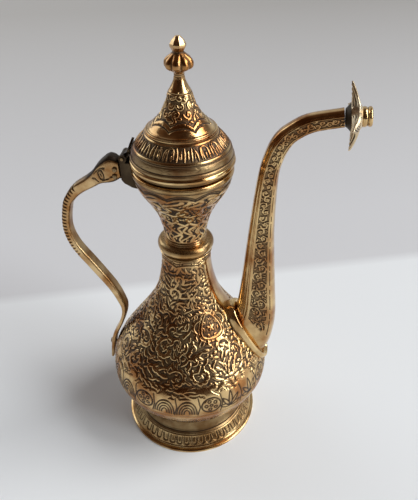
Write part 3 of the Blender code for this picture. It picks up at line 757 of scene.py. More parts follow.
def build_collar():
    lip = [(15.6, COLLAR_Z), (16.2, COLLAR_Z + 0.5), (15.9, COLLAR_Z + 1.1), (15.0, COLLAR_Z + 1.5)]
    ring = bulge(14.4, COLLAR_Z + 1.5, CUP_Z, COLLAR_RADIUS - 14.4)
    outer = softened(np.vstack([lip, ring]), 0.25, 0.3)

    def draw(canvas):
        canvas.fill(COLLAR_Z + 1.2, COLLAR_Z + 1.8, 0.3)
        # Painted shade on the ring's upper half, under the flaring cup
        canvas.paint_shade(149.6, 156.0, 0.5)

    inner = [(11.4, CUP_Z), (11.4, 149.0), (13.2, COLLAR_Z)]
    turned(
        "neck_ring", outer, inner, 256, 0.3, POLISHED, "pot", "neck_collar", draw,
        base=0.95, depth=0.2, dents=0.05,
    )


def draw_cup(canvas):
    """Diagonal bands that cross over dark pits, small hooks in the meshes and a scalloped border."""
    low, high = 156.5, 192.0
    count = 13
    for lean in (-1, 1):
        for k in range(count):
            heights = np.linspace(low, high, 160)
            sway = 0.02 * np.sin((heights - low) * 0.75 + k)
            for z, extra in zip(heights, sway):
                share = k / count + lean * 0.22 * (z - low) / (high - low) + extra
                row = canvas.row_of(z)
                canvas.dab(canvas.column_of(share), row, 0.78 + 0.02 * (z - low))
    for k in range(2600):
        z = low + (high - low) * rng.random()
        column, row = rng.uniform(0, canvas.columns), canvas.row_of(z)
        if canvas.is_bare(column, row, 0.45):
            size = rng.uniform(1.2, 2.6)
            hook = [leaf(size, 0.8, rng.choice((-2.2, 2.2)), (-size / 2, 0.0))]
            canvas.motif(column, row, hook, rng.uniform(0, ANY_TURN))
    canvas.lighten_ground(0.12)
    canvas.fill(194.0, BEAD_Z, 1.0)
    canvas.wave(190.9, scallops(11, 3.0, 1000), 0.8)
    canvas.wave(192.3, scallops(11, 3.0, 1000), 0.65, carve=True)
    canvas.wave(193.8, scallops(11, 2.4, 1000), 0.55, carve=True, level=0.1)
    # Painted shade on the band under the mouth ring
    canvas.paint_shade(193.0, 200.0, 0.5)
    canvas.fill(CUP_Z, 155.2, 1.0)
    canvas.cut_rings((154.2, 0.36, 0.0), (155.6, 0.42, 0.0))
    canvas.ring(156.4, 0.5)


def build_cup():
    points = [(12.9, CUP_Z), (12.8, 157.0), (14.0, 164.5), (16.4, 172.5), (20.0, 179.5), (24.0, 186.0)]
    outer = smooth(points + [(27.0, 192.0), (28.0, BEAD_Z)])
    inner = inner_wall(outer, WALL, 10)
    turned(
        "neck_cup_shell", outer, inner, 420, 0.34, CHASED, "pot", "neck_cup", draw_cup,
        base=0.0, depth=0.5, dents=0.08,
    )


def build_bead():
    """The ring round the mouth."""
    outer = softened(bulge(27.8, BEAD_Z, BEAD_TOP_Z, MOUTH_RADIUS - 27.8), 0.25, 0.2)

    def draw(canvas):
        canvas.cut_rings((BEAD_Z + 0.5, 0.4, 0.3))
        # Painted shade on the ring's lower side
        canvas.paint_shade(BEAD_Z - 1.0, BEAD_Z + 2.2, 0.5)
        canvas.cut_rings((BEAD_TOP_Z - 1.0, 0.3, 0.4))

    inner = [(25.6, BEAD_TOP_Z), (25.6, BEAD_Z)]
    turned(
        "mouth_ring", outer, inner, 300, 0.3, POLISHED, "pot", "mouth_bead", draw,
        base=0.85, depth=0.3, dents=0.05,
    )


# ---- lid


def build_bezel():
    line = [(24.6, BEAD_TOP_Z - 4.2), (24.6, BEAD_TOP_Z + 0.3), (27.2, BEAD_TOP_Z + 0.3), (27.2, RIM_Z)]
    inner = [(22.8, RIM_Z), (22.8, BEAD_TOP_Z - 4.2)]
    turned(
        "lid_plug", softened(line, 0.4, 0.3), inner, 200, 0.5, POLISHED, "lid",
        "lid_bezel", plain, base=0.3, depth=0.1, dents=0.0,
    )


def build_rim():
    line = [(27.4, RIM_Z), (28.9, RIM_Z), (LID_RADIUS, RIM_Z + 0.5), (LID_RADIUS, 205.4), (28.8, DOME_Z)]
    inner = [(23.0, DOME_Z), (23.0, RIM_Z)]
    turned(
        "lid_edge", softened(line, 0.2, 0.25), inner, 300, 0.25, POLISHED, "lid",
        "lid_rim", plain, base=1.0, depth=0.2, dents=0.07,
    )


def upright_ornaments():
    """Four generic upright motifs of the lid's band: arch with bud, twin leaves, crook and spindle."""
    t = np.linspace(0.0, math.pi, 12)
    arch = np.vstack([[(1.3, -2.6)], np.stack([1.3 * np.cos(t), 1.4 + 1.3 * np.sin(t)], 1), [(-1.3, -2.6)]])
    crook = np.vstack(
        [[(-0.9, -2.7)], np.stack([0.2 - 1.1 * np.cos(t), 1.5 + 1.2 * np.sin(t)], 1), [(1.0, 0.6)]]
    )
    return [
        [(arch, 0.46), leaf(2.8, 1.0, 0.0, (0.0, -2.4), math.pi / 2)],
        [leaf(5.2, 1.25, 0.5, (-0.9, -2.6), 1.45), leaf(5.2, 1.25, -0.5, (0.9, -2.6), 1.7)],
        [(crook, 0.46), leaf(2.2, 0.9, 0.0, (0.9, -2.4), math.pi / 2)],
        [
            leaf(5.4, 1.3, 0.0, (0.0, -2.7), math.pi / 2), ([(-1.3, -1.6), (-1.2, 1.4)], 0.36),
            ([(1.3, -1.6), (1.2, 1.4)], 0.36),
        ],
    ]


def draw_dome(canvas):
    canvas.fill(214.6, 221.2, 0.05)
    kinds = upright_ornaments()
    count = 38
    low_row, high_row = canvas.row_of(214.8), canvas.row_of(221.2)
    row = 0.5 * (low_row + high_row)
    scale = (high_row - low_row) * canvas.step / 6.4
    for k in range(count):
        column = canvas.column_of((k + rng.uniform(-0.08, 0.08)) / count)
        kind = kinds[rng.choice((0, 1, 2, 3, 1, 3))]
        canvas.motif(column, row, kind, rng.uniform(-0.1, 0.1), scale)
    canvas.lighten_ground(0.34)
    # Painted shade: the lid's lower band and its ornament band are darkened
    canvas.paint_shade(205.0, 214.2, 0.42)
    canvas.paint_shade(214.2, 221.5, 0.7)
    canvas.ring(214.4, 0.5)
    canvas.cut_rings((213.4, 0.4, 0.1), (212.6, 0.3, 0.3), (209.0, 0.4, 0.15))
    canvas.ring(221.4, 0.45)
    canvas.cut_rings((222.1, 0.4, 0.1))
    for _ in range(60):
        column, row = canvas.anywhere(209.8, 212.0)
        canvas.stroke(
            column, row, [(0, 0), (rng.uniform(-1.6, 1.6), rng.uniform(-0.8, 0.8))], 0.28, carve=True,
            level=0.45,
        )


def build_dome():
    line = [
        (28.6, DOME_Z), (28.9, 207.2), (28.9, 208.2), (28.3, 208.9), (27.9, 211.0), (27.2, 213.2),
        (26.3, 214.4),
    ]
    line += [(24.6, 216.8), (22.6, 219.0), (20.6, 221.0), (19.7, 221.9), (19.6, SPIRE_Z)]
    inner = [(16.6, SPIRE_Z), (18.6, 220.2), (22.4, 216.6), (24.6, 213.2), (26.2, 209.0), (26.6, DOME_Z)]
    outer = softened(line, 0.3, 0.4)
    turned(
        "lid_dome_shell", outer, inner, 460, 0.3, CHASED, "lid", "lid_dome", draw_dome,
        base=0.9, depth=0.5, dents=0.1,
    )


def draw_spire(canvas):
    rows_of_scrolls = [(229.0, 3.0), (233.4, 2.6), (237.8, 2.2), (241.2, 1.6)]
    arabesque(canvas, rows_of_scrolls, 2600, 227.6, 242.0)
    canvas.lighten_ground(0.3)
    canvas.fill(SPIRE_Z, 227.4, 1.0)
    rises = scallops(7, 2.6, 700)
    canvas.wave(227.4, rises, 1.0)
    canvas.wave(226.2, rises, 0.7, carve=True)
    canvas.wave(228.5, rises, 0.6, carve=True)
    canvas.fill(242.6, SPIRE_TOP_Z, 1.0)
    canvas.cut_rings((243.0, 0.4, 0.0), (223.9, 0.4, 0.2))
    for k in range(7):
        canvas.dab(canvas.column_of((k + 0.4) / 7), canvas.row_of(244.6 - 0.9 * (k % 2)), 0.5, carve=True)


def build_spire():
    line = [
        (19.0, SPIRE_Z), (19.3, SPIRE_Z + 0.5), (18.3, SPIRE_Z + 1.1), (17.0, 224.6), (14.8, 227.2),
        (12.3, 229.9),
    ]
    line += [
        (10.4, 232.6), (7.9, 238.0), (6.4, 242.8), (6.0, 243.4), (4.5, 246.0), (3.3, 248.6),
        (2.9, SPIRE_TOP_Z),
    ]
    inner = [
        (1.5, SPIRE_TOP_Z), (1.5, 240.0), (5.4, 239.6), (8.6, 233.0), (12.0, 227.8), (16.2, 224.0),
        (17.2, SPIRE_Z),
    ]
    outer = softened(smooth(line), 0.3, 0.25)
    turned(
        "spire_shell", outer, inner, 380, 0.24, CHASED, "lid", "lid_spire", draw_spire,
        base=0.0, depth=0.42, dents=0.08,
    )


def build_finial():
    lobed = [(2.7, 250.7), (2.9, 252.4), (4.6, 253.6), (7.0, 255.0), (7.6, 257.0), (6.8, 259.2)]
    lobed = smooth(lobed + [(4.4, 261.2), (2.7, 262.5)])
    bud = [
        (2.7, 262.5), (3.2, 263.3), (4.2, 265.0), (4.2, 266.2), (3.2, 268.0), (1.7, HEIGHT - 0.6),
        (1.2, HEIGHT), (0.02, HEIGHT),
    ]
    line = softened(np.vstack([lobed, bud[1:]]), 0.16, 0.2)
    line[-1] = (0.02, HEIGHT)
    columns = 224
    angle = turns(columns)
    lobes = 1.0 - 0.15 * (1.0 - np.abs(np.cos(4 * angle))) ** 1.2
    facets = math.cos(math.pi / 8) / np.cos((angle + math.pi / 8) % (math.pi / 4) - math.pi / 8)
    r, z = line[:, :1], line[:, 1:]
    in_bud = np.clip((z - 262.2) / 0.8, 0.0, 1.0) * np.clip((269.4 - z) / 0.6, 0.0, 1.0)
    amount = np.clip((r - 2.9) / 3.0, 0.0, 1.0) * (1.0 - np.clip((z - 262.2) / 0.8, 0.0, 1.0))
    shape = 1.0 + amount * (lobes[None, :] - 1.0) + in_bud * (facets[None, :] - 1.0)
    radius = r * shape
    relief = 1.0 - np.clip((1.0 - lobes[None, :]) * 5.0, 0.0, 0.85) * amount
    relief = np.minimum(relief, 1.0 - 0.8 * np.exp(-((z - 262.4) / 0.8) ** 2))
    relief = np.minimum(relief, 1.0 - 0.7 * np.exp(-((z - 251.6) / 0.8) ** 2))
    radius = np.vstack([radius, np.full((1, columns), 0.02)])
    height = np.vstack([np.repeat(z, columns, axis=1), np.full((1, columns), 250.7)])
    relief = np.vstack([relief, np.full((1, columns), 0.4)])
    faces = grid_faces(len(radius), columns)
    add_piece("finial_knob", spun(radius, height), [faces], relief, CAST, "lid", "finial")


# ---- spout

SPOUT_RELIEF = 0.45
SPOUT_WALL = 1.4
SPOUT_TIP_DEPTH = 4.3  # half the spout's depth at its tip
SPOUT_EXTRA_DEPTH = 4.7  # how much more it has at its lower end
PANEL_START = 15.0  # where the ornament starts, from the spout's lower end


def spout_lines():
    """The spout's inner and outer edge in its own plane, at even steps, and the share of the way along."""
    inner = [(25.8, 97.5), (31.0, 101.0), (32.2, 103.5), (33.3, 109.0), (35.2, 128.0), (38.2, 163.0)]
    inner += [(41.6, 196.0), (44.6, 210.5), (49.0, 221.2), (55.5, 228.0), (65.5, 234.0), (83.0, 238.1)]
    outer = [(46.6, 60.5), (52.2, 66.8), (55.9, 77.5), (57.7, 97.0), (55.6, 127.0), (53.1, 163.0)]
    outer += [(53.2, 196.0), (55.2, 208.0), (58.6, 216.2), (62.5, 220.8), (70.5, 225.4), (84.3, 228.7)]
    inner, outer = smooth(inner), smooth(outer)
    share = np.linspace(0.0, 1.0, len(inner))
    table = resample(np.column_stack([(inner + outer) / 2, inner, outer, share]), 0.5)
    return table[:, 2:4], table[:, 4:6], table[:, 6]


SECTION = smooth(
    [
        (0.0, 0.0), (0.012, 0.3), (0.05, 0.56), (0.16, 0.8), (0.28, 0.98), (0.33, 1.0), (0.56, 1.0),
        (0.79, 1.0), (0.85, 0.97), (0.93, 0.74), (0.985, 0.34), (1.0, 0.0),
    ]
)


def draw_spout(canvas, panel_low, panel_high, rows, side):
    """Side panel with climbing scrolls between two border lines, a broken line and a rounded strip."""
    columns = canvas.columns
    low, high = int(panel_low * columns), int(panel_high * columns)
    width = canvas.widths
    run = np.arange(rows) * canvas.step
    fade = np.clip((run - PANEL_START) / 3.0, 0.0, 1.0)[:, None]
    across = np.arange(columns)[None, :]
    inside = ((across > low) & (across < high)).astype(float)
    slant = (run[:, None] > PANEL_START + 0.55 * (columns * 0.5 - across) * width[:, None]).astype(float)
    canvas.raised = 1.0 - inside * slant * fade
    middle = 0.5 * (low + high)
    place, hand = PANEL_START + 3.0, 1
    while place < run[-1] - 2.0:
        row = place / canvas.step
        across_mm = (high - low) * width[min(int(row), rows - 1)]
        size = max(1.5, 0.36 * across_mm)
        shift = hand * 0.12 * across_mm / width[min(int(row), rows - 1)]
        canvas.motif(middle + shift, row, scroll(size, hand, 1.25, 5, 0.62), rng.uniform(0, ANY_TURN))
        place += 1.75 * size
        hand = -hand
    for _ in range(2600):
        column, row = rng.uniform(low + 1, high - 1), rng.uniform((PANEL_START + 2) / canvas.step, rows - 1)
        if canvas.is_bare(column, row, 0.6):
            length = rng.uniform(1.2, 2.2)
            canvas.motif(
                column, row, [leaf(length, 0.75, rng.uniform(-1.4, 1.4), (-length / 2, 0.0))],
                rng.uniform(0, ANY_TURN),
            )
    canvas.lighten_ground(0.36)
    border = (
        ((across <= low + 1) & (across >= low - 1)) | ((across <= high + 1) & (across >= high - 1))
    ).astype(float)
    canvas.raised = np.maximum(canvas.raised, border * slant)
    line = ((across >= high + 4) & (across <= high + 5)).astype(float) * (run[:, None] > PANEL_START)
    broken = (np.sin(run * 1.1) + 0.6 * np.sin(run * 0.37 + side) > -0.7).astype(float)[:, None]
    canvas.raised = np.minimum(canvas.raised, 1.0 - 0.85 * line * broken)
    line = (across == low - 5).astype(float) * (run[:, None] > PANEL_START - 8.0)
    canvas.raised = np.minimum(canvas.raised, 1.0 - 0.5 * line)
    brown = np.clip(1.0 - np.abs(across - (low - 9)) / 4.0, 0.0, 1.0) * 0.5
    canvas.raised = canvas.raised * (1.0 - 0.6 * brown * (run[:, None] > PANEL_START - 8.0))


def build_spout():
    inner, outer, share = spout_lines()
    rows, columns, back = len(share), 96, 9
    section = resample(SECTION * (2.6, 1.0), along(SECTION * (2.6, 1.0))[-1] / (columns - 1)) / (2.6, 1.0)
    middle, half = (inner + outer) / 2, (outer - inner) / 2
    depth = SPOUT_TIP_DEPTH + SPOUT_EXTRA_DEPTH * (1.0 - share) ** 1.4
    size = np.linalg.norm(half, axis=1)
    step = along(middle)[-1] / (rows - 1)
    for name, side, node in (("spout_left", 1, "spout_half_left"), ("spout_right", -1, "spout_half_right")):
        panel = np.where((section[:, 0] > 0.30) & (section[:, 0] < 0.80))[0]
        widths = 2 * size * (section[panel[1], 0] - section[panel[0], 0])
        canvas = Canvas(widths, step, columns, False, 1.0)
        draw_spout(canvas, panel[0] / columns, panel[-1] / columns, rows, side)
        push = SPOUT_RELIEF * (canvas.raised - 1.0)
        f = 2.0 * section[None, :, 0] - 1.0
        y = depth[:, None] * section[None, :, 1] + push * (section[None, :, 1] > 0.5)
        x = middle[:, :1] + half[:, :1] * f
        z = middle[:, 1:] + half[:, 1:] * f
        lining = np.linspace(1.0, -1.0, back)[None, :]
        shrink = ((size - SPOUT_WALL) / size)[:, None]
        x2 = middle[:, :1] + half[:, :1] * lining * shrink
        z2 = middle[:, 1:] + half[:, 1:] * lining * shrink
        y2 = (depth - SPOUT_WALL)[:, None] * np.sqrt(np.clip(1.0 - lining**4, 0.0, 1.0))
        points = np.stack(
            [np.hstack([x, x2]), side * np.hstack([y, y2]), np.hstack([z, z2])], 2,
        ).reshape(-1, 3)
        relief = np.hstack([canvas.raised, np.full((rows, back), 0.4)])
        ring = columns + back
        quads = grid_faces(rows, ring, wrap_rows=False)
        if side < 0:
            quads = quads[:, ::-1]
        ends = [np.arange(ring)[None, :], (rows - 1) * ring + np.arange(ring)[None, ::-1]]
        if side > 0:
            ends = [end[:, ::-1] for end in ends]
        add_piece(name, points, [quads] + ends, relief, CHASED, "pot", node)


def build_flange():
    """The raised ring where the spout meets the body."""
    inner, outer = np.array([26.2, 0, 97.8]), np.array([47.6, 0, 60.6])
    normal = np.array([0.87, 0, 0.49])
    middle, across = (inner + outer) / 2, (inner - outer) / 2
    reach = np.linalg.norm(across)
    profile = [
        (0.0, 0.5), (3.7, 0.5), (3.75, 3.4), (3.6, 5.2), (3.0, 6.5), (2.0, 7.0), (1.0, 6.4), (0.0, 5.2),
    ]
    profile = softened(profile + profile[:1], 0.35, 0.5)[:-1]
    steps = 240
    a = turns(steps)
    cosine = np.sign(np.cos(a)) * np.abs(np.cos(a)) ** 0.8
    sine = np.sign(np.sin(a)) * np.abs(np.sin(a)) ** 0.8
    points, relief = [], []
    for k in range(steps):
        for more, rise in profile:
            along_slope = across * (reach + more) / reach * cosine[k]
            place = middle + along_slope + (0, (9.0 + more) * sine[k], 0) + normal * rise
            points.append(place)
            relief.append(0.35 if rise < 2.0 else 1.0)
    faces = grid_faces(steps, len(profile))[:, ::-1]
    add_piece("spout_collar", points, [faces], relief, POLISHED, "pot", "spout_flange")


def tip_points(forward, up, beside):
    """Points of the spout's end, from distances along, above and beside its rising axis."""
    x = TIP_X + forward * math.cos(TIP_RISE) - up * math.sin(TIP_RISE)
    z = TIP_Z + forward * math.sin(TIP_RISE) + up * math.cos(TIP_RISE)
    return np.stack([x, beside, z], -1)


def chevrons(radius, reach, off_axis):
    """Relief of the curved cuts across a petal, from the distance to its spine and to its edge."""
    cut = 0.5 + 0.5 * np.sin((radius + 1.1 * (off_axis * radius) ** 1.3) * 2 * math.pi / 2.3)
    edge = np.clip((reach - radius) / 0.7, 0.0, 1.0) * np.clip((radius - 7.0) / 0.8, 0.0, 1.0)
    return 1.0 - edge * (1.0 - np.clip(2.4 * cut - 0.9, 0.0, 1.0))


def build_flower():
    """Four pointed petals with chevron cuts that point to their tips."""
    steps = 420
    angle = turns(steps)
    peak = 1.0 - np.abs(np.sin(2 * angle))
    reach = 7.4 + (PETAL_REACH - 7.4) * peak**1.15
    share = (reach - 7.4) / (PETAL_REACH - 7.4)
    swept = 5.4 - 3.6 * share**1.3
    off_axis = np.abs((angle + math.pi / 4) % (math.pi / 2) - math.pi / 4)
    back = [(-0.75, BORE_RADIUS), (-0.75, 4.6), (-0.2, 5.0), (0.6, 5.8), (1.3, 6.6), (1.7, 7.1)]
    rows, relief = [], []
    for forward, radius in back:
        rows.append((np.full(steps, forward), np.full(steps, radius)))
        relief.append(np.full(steps, 0.12))
    for t in np.linspace(0.02, 1.0, 40):
        radius = 7.1 + (reach - 7.1) * t
        raised = chevrons(radius, reach, off_axis)
        rows.append((1.8 + (swept - 0.5 - 1.8) * t**1.4 + 0.3 * (1.0 - raised), radius))
        relief.append(raised)
    rows.append((swept + 0.2, reach + 0.1))
    relief.append(np.full(steps, 1.0))
    for t in np.linspace(1.0, 0.0, 46):
        radius = 6.2 + (reach - 6.2) * t
        forward = 6.4 + (swept + 0.35 - 6.4) * t**1.25
        raised = chevrons(radius, reach, off_axis)
        rows.append((forward - 0.45 * (1.0 - raised), radius))
        relief.append(raised)
    for forward, radius in ((6.8, 6.0), (7.2, 5.4), (7.2, BORE_RADIUS)):
        rows.append((np.full(steps, forward), np.full(steps, radius)))
        relief.append(np.full(steps, 0.8))
    forward = np.array([row[0] for row in rows])
    radius = np.array([row[1] for row in rows])
    points = tip_points(forward, radius * np.cos(angle), radius * np.sin(angle)).reshape(-1, 3)
    faces = grid_faces(len(rows), steps)
    # The petals take the brass with the painted highlight
    add_piece("spout_petals", points, [faces], np.array(relief), HIGHLIT, "pot", "spout_flower")


def build_nozzle():
    line = [
        (7.0, 4.8), (7.6, 5.1), (8.6, 5.15), (9.4, 4.9), (9.8, 4.5), (10.2, 4.6), (10.7, 5.05),
        (11.6, 5.1), (12.2, 4.6),
    ]
    line = softened(line, 0.12, 0.2)
    line = np.vstack([line, [(12.2, BORE_RADIUS), (7.0, BORE_RADIUS)]])
    steps = 160
    angle = turns(steps)
    forward = np.repeat(line[:, :1], steps, axis=1)
    radius = np.repeat(line[:, 1:], steps, axis=1)
    dip = np.exp(-((forward - 9.9) / 0.35) ** 2)
    points = tip_points(forward, radius * np.cos(angle), radius * np.sin(angle)).reshape(-1, 3)
    relief = np.where(radius < 4.0, 0.1, 1.0 - 0.8 * dip)
    faces = grid_faces(len(line), steps)
    add_piece("spout_nozzle_tip", points, [faces], relief, POLISHED, "pot", "spout_nozzle")


# ---- handle

HANDLE_RELIEF = 0.7
HANDLE_SQUARENESS = 0.55  # 1 is an oval section, 0 a rectangle


def handle_line():
    """(middle x, z, thickness, half depth) along the handle, from its tail to the beak, at even steps."""
    middle = [(-57.4, 43.0), (-56.2, 51.0), (-54.6, 60.0), (-52.3, 67.0), (-49.4, 73.0), (-46.9, 79.0)]
    middle += [(-45.1, 84.5), (-44.3, 89.5), (-45.0, 95.0), (-50.2, 108.0), (-61.0, 125.0), (-71.0, 140.5)]
    middle += [(-74.3, 154.0), (-71.8, 169.5), (-68.2, 176.2), (-63.0, 181.8)]
    thickness = [2.0, 2.8, 3.2, 3.0, 2.8, 2.8, 3.0, 3.6, 4.4, 5.4, 6.0, 5.8, 5.2, 5.4, 6.0, 7.0]
    stations = []
    for k, (point, thick) in enumerate(zip(middle, thickness)):
        before, after = np.array(middle[max(k - 1, 0)]), np.array(middle[min(k + 1, len(middle) - 1)])
        ahead = (after - before) / np.linalg.norm(after - before)
        out = np.array([-ahead[1], ahead[0]]) * thick / 2
        stations.append((*(point + out), *(point - out), 3.9))
    head = [
        (-57.6, 189.8, -52.8, 184.0, 4.2), (-53.2, 193.6, -48.5, 186.6, 4.6),
        (-49.4, 198.6, -45.3, 187.6, 5.2),
    ]
    head += [
        (-45.6, 202.4, -42.6, 188.0, 5.4), (-42.0, 204.8, -40.2, 188.6, 5.2),
        (-38.8, 204.4, -37.8, 189.8, 4.6),
    ]
    head += [(-36.4, 202.6, -35.6, 191.5, 4.0)]
    table = smooth(np.array(stations + head))
    centre = (table[:, :2] + table[:, 2:4]) / 2
    return resample(np.column_stack([centre, table]), 0.45)


def draw_handle(canvas, run):
    """Mane notches on the back, a milled inner corner, and the bird's eye, brow and beak line on the head."""
    length = run[-1]
    for k in range(22):
        row = (length * 0.55 + 2.35 * k) / canvas.step
        canvas.stroke(0.0, row, [(-6.6, -0.8), (0.0, 0.4), (6.6, -0.8)], [0.45, 0.85, 0.45], carve=True)
    for k in range(84):
        row = (12.0 + 1.25 * k) / canvas.step
        for column in (0.33, 0.67):
            canvas.dab(canvas.column_of(column), row, 0.55, carve=True)
    t = np.linspace(0.0, 2 * math.pi, 20)
    for side, middle in ((1, 0.25), (-1, 0.75)):
        column = canvas.column_of(middle)
        eye = (length - 12.0) / canvas.step
        canvas.stroke(column, eye, np.stack([1.7 * np.cos(t), 1.7 * np.sin(t)], 1), 0.62, carve=True)
        canvas.stroke(column, eye, [(0.0, 0.0)], 0.7, carve=True)
        canvas.stroke(
            column, eye, [(-2.8 * side, -3.6), (-2.9 * side, 0.5), (-1.4 * side, 3.6)], 0.55, carve=True,
        )
        canvas.stroke(
            column, eye, [(2.4 * side, -1.0), (2.9 * side, 4.0), (1.8 * side, 8.0)], 0.5, carve=True,
        )
        canvas.stroke(
            column, eye, [(-1.0 * side, -6.5), (0.2 * side, -4.8), (1.6 * side, -4.4)], 0.4, carve=True,
        )


def build_handle():
    table = handle_line()
    rows, columns = len(table), 72
    outer, inner, depth = table[:, 2:4], table[:, 4:6], table[:, 6]
    middle, half = (outer + inner) / 2, (outer - inner) / 2
    run = along(middle)
    step = run[-1] / (rows - 1)
    turn = turns(columns)
    cosine = np.sign(np.cos(turn)) * np.abs(np.cos(turn)) ** HANDLE_SQUARENESS
    sine = np.sign(np.sin(turn)) * np.abs(np.sin(turn)) ** HANDLE_SQUARENESS
    around = 4 * (np.linalg.norm(half, axis=1) + depth)
    canvas = Canvas(around / columns, step, columns, True, 1.0)
    draw_handle(canvas, run)
    shrink = HANDLE_RELIEF * (canvas.raised - 1.0)
    size = np.linalg.norm(half, axis=1)[:, None]
    across = cosine[None, :] * (1.0 + shrink / np.maximum(size, 1.5) * (np.abs(cosine) > 0.6))
    beside = sine[None, :] * (depth[:, None] + shrink * (np.abs(sine) > 0.6))
    x = middle[:, :1] + half[:, :1] * across
    z = middle[:, 1:] + half[:, 1:] * across
    points = np.stack([x, beside, z], 2).reshape(-1, 3)
    faces = grid_faces(rows, columns, wrap_rows=False)[:, ::-1]
    ends = [np.arange(columns)[None, :], (rows - 1) * columns + np.arange(columns)[None, ::-1]]
    # Painted shade, in colour only: the outer back of the mane, the inner face toward the pot and the head
    # are darkened
    outside = np.clip((cosine - 0.7) / 0.1, 0.0, 1.0)[None, :]
    inside = np.clip((-cosine - 0.75) / 0.1, 0.0, 1.0)[None, :]
    mane = np.clip((run - 0.54 * run[-1]) / 3.0, 0.0, 1.0)[:, None]
    head = np.clip((run - run[-1] + 24.0) / 6.0, 0.0, 1.0)[:, None]
    painted_shade = np.maximum(1.0 - 0.62 * outside * mane - 0.5 * inside - 0.36 * head, 0.12)
    add_piece(
        "handle_bird", points, [faces] + ends, canvas.raised * painted_shade, CAST, "pot",
        "handle",
    )


# ---- kept CAD nodes


def refinish(node, material):
    """A CAD node that keeps its own mesh and takes a finish."""
    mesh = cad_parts[node].data
    mesh.materials.clear()
    mesh.materials.append(material)


def finish_fittings():
    # The hinge and the finial's nut and stud take the brass with painted shade
    for node in ("hinge_bracket", "hinge_leaf", "finial_nut", "finial_stud"):
        refinish(node, SHADOWED)
    for node in ("hinge_pin", "beak_rivet_1", "beak_rivet_2", "tail_rivet"):
        refinish(node, PIN)


# ---- floor, light and camera


def build_floor():
    """A pale table with a greyer sheet behind it, that meets it in a soft line; painted shade darkens the
    sheet further back.
    """
    mesh = bpy.data.meshes.new("floor")
    reach = 6.0
    mesh.from_pydata(
        [(-reach, -reach, 0), (reach, -reach, 0), (reach, reach, 0), (-reach, reach, 0)], [],
        [(0, 1, 2, 3)],
    )
    floor = bpy.data.objects.new("floor", mesh)
    bpy.context.scene.collection.objects.link(floor)
    floor.location.z = CAD_LOW.z
    material = bpy.data.materials.new("table_and_backdrop")
    material.use_nodes = True
    nodes, links = material.node_tree.nodes, material.node_tree.links
    shader = nodes["Principled BSDF"]
    shader.inputs["Roughness"].default_value = 0.55
    place = nodes.new("ShaderNodeTexCoord")
    turn = nodes.new("ShaderNodeMapping")
    turn.inputs["Rotation"].default_value = (0.0, 0.0, -CAMERA_ROUND - math.radians(6.0))
    links.new(place.outputs["Object"], turn.inputs["Vector"])
    split = nodes.new("ShaderNodeSeparateXYZ")
    links.new(turn.outputs["Vector"], split.inputs["Vector"])
    behind = ranged(nodes, links, split.outputs["Y"], 0.140, 0.154, 0.0, 1.0)
    # Painted shade: the sheet behind the table darkens further back
    shade_farther_back = ranged(nodes, links, split.outputs["Y"], 0.25, 1.3, 0.0, 1.0)
    sheet = mixed(nodes, links, shade_farther_back, (0.62, 0.63, 0.65), (0.44, 0.435, 0.42))
    colour = mixed(nodes, links, behind, (0.78, 0.81, 0.83), sheet)
    links.new(colour, shader.inputs["Base Color"])
    mesh.materials.append(material)


def area_light(name, location, target, width, height, power, colour):
    data = bpy.data.lights.new(name, "AREA")
    data.shape = "RECTANGLE"
    data.size = width
    data.size_y = height
    data.energy = power
    data.color = colour
    light = bpy.data.objects.new(name, data)
    light.location = location
    light.rotation_mode = "QUATERNION"
    light.rotation_quaternion = (Vector(target) - Vector(location)).to_track_quat("-Z", "Y")
    bpy.context.scene.collection.objects.link(light)


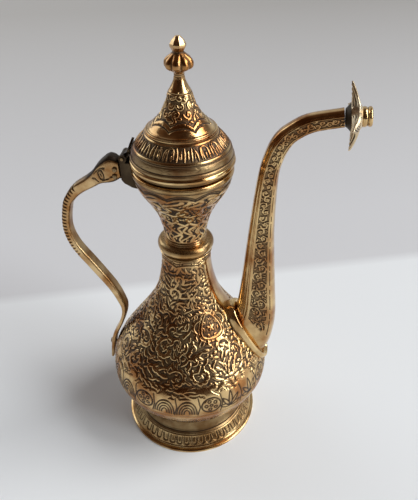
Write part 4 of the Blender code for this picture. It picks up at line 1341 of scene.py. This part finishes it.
def build_room():
    """A pale room, brown and dim on the near side, with a tall soft window and daylight from the right."""
    world = bpy.data.worlds.new("room")
    bpy.context.scene.world = world
    world.use_nodes = True
    nodes, links = world.node_tree.nodes, world.node_tree.links
    place = nodes.new("ShaderNodeTexCoord")
    dot = nodes.new("ShaderNodeVectorMath")
    dot.operation = "DOT_PRODUCT"
    links.new(place.outputs["Generated"], dot.inputs[0])
    dot.inputs[1].default_value = Vector((0.05, -0.80, 0.55)).normalized()
    wall, side = (0.8, 0.83, 0.88), (0.34, 0.33, 0.33)
    dim, dark = (0.125, 0.074, 0.047), (0.052, 0.029, 0.018)
    shade = ramp(nodes, [(0.0, wall), (0.48, side), (0.66, dim), (1.0, dark)])
    links.new(ranged(nodes, links, dot.outputs["Value"], -1.0, 1.0, 0.0, 1.0), shade.inputs["Fac"])
    clutter = noise(nodes, links, place, 2.2, 2.0, "Generated")
    level = ranged(nodes, links, clutter, 0.35, 0.65, 0.55, 1.3)
    colour = mixed(nodes, links, 1.0, shade.outputs["Color"], level, "MULTIPLY")
    links.new(colour, nodes["Background"].inputs["Color"])
    nodes["Background"].inputs["Strength"].default_value = 0.95
    area_light("window", (2.1, -0.7, 1.25), (0.0, 0.0, 0.1), 0.9, 2.2, 40.0, (0.95, 0.98, 1.0))
    area_light("white_sheet", (-1.8, 0.9, 1.2), (0.0, 0.0, 0.1), 1.4, 1.4, 9.0, (0.92, 0.96, 1.0))
    data = bpy.data.lights.new("daylight", "SUN")
    data.energy = 2.0
    data.angle = math.radians(34)
    sun = bpy.data.objects.new("daylight", data)
    sun.rotation_mode = "QUATERNION"
    sun.rotation_quaternion = Vector((-0.85, -0.18, -0.9)).to_track_quat("-Z", "Y")
    bpy.context.scene.collection.objects.link(sun)
    bpy.context.scene.view_settings.view_transform = "Standard"


def build_camera():
    ahead = Vector((
        math.sin(CAMERA_YAW) * math.cos(CAMERA_PITCH),
        math.cos(CAMERA_YAW) * math.cos(CAMERA_PITCH),
        -math.sin(CAMERA_PITCH),
    ))
    right = Vector((math.cos(CAMERA_YAW), -math.sin(CAMERA_YAW), 0.0))
    up = right.cross(ahead)
    c, s = math.cos(CAMERA_ROLL), math.sin(CAMERA_ROLL)
    right, up = c * right + s * up, c * up - s * right
    spin = Matrix.Rotation(CAMERA_ROUND, 3, "Z")
    axes = [spin @ axis for axis in (right, up, -ahead)]
    place = spin @ Vector((0.0, -CAMERA_DISTANCE, CAMERA_HEIGHT)) * MM + Vector((AXIS_X, 0.0, 0.0))
    data = bpy.data.cameras.new("camera")
    data.sensor_width = 36.0
    data.lens = CAMERA_LENS
    data.shift_x = -0.006
    data.shift_y = 0.002
    data.clip_start = 0.01
    camera = bpy.data.objects.new("camera", data)
    camera.matrix_world = Matrix.Translation(place) @ Matrix(axes).transposed().to_4x4()
    bpy.context.scene.collection.objects.link(camera)
    bpy.context.scene.camera = camera


# ---- the pot

build_foot()
build_bowl()
build_shoulder()
build_collar()
build_cup()
build_bead()
build_bezel()
build_rim()
build_dome()
build_spire()
build_finial()
build_spout()
build_flange()
build_flower()
build_nozzle()
build_handle()
finish_fittings()
build_floor()
build_room()
build_camera()
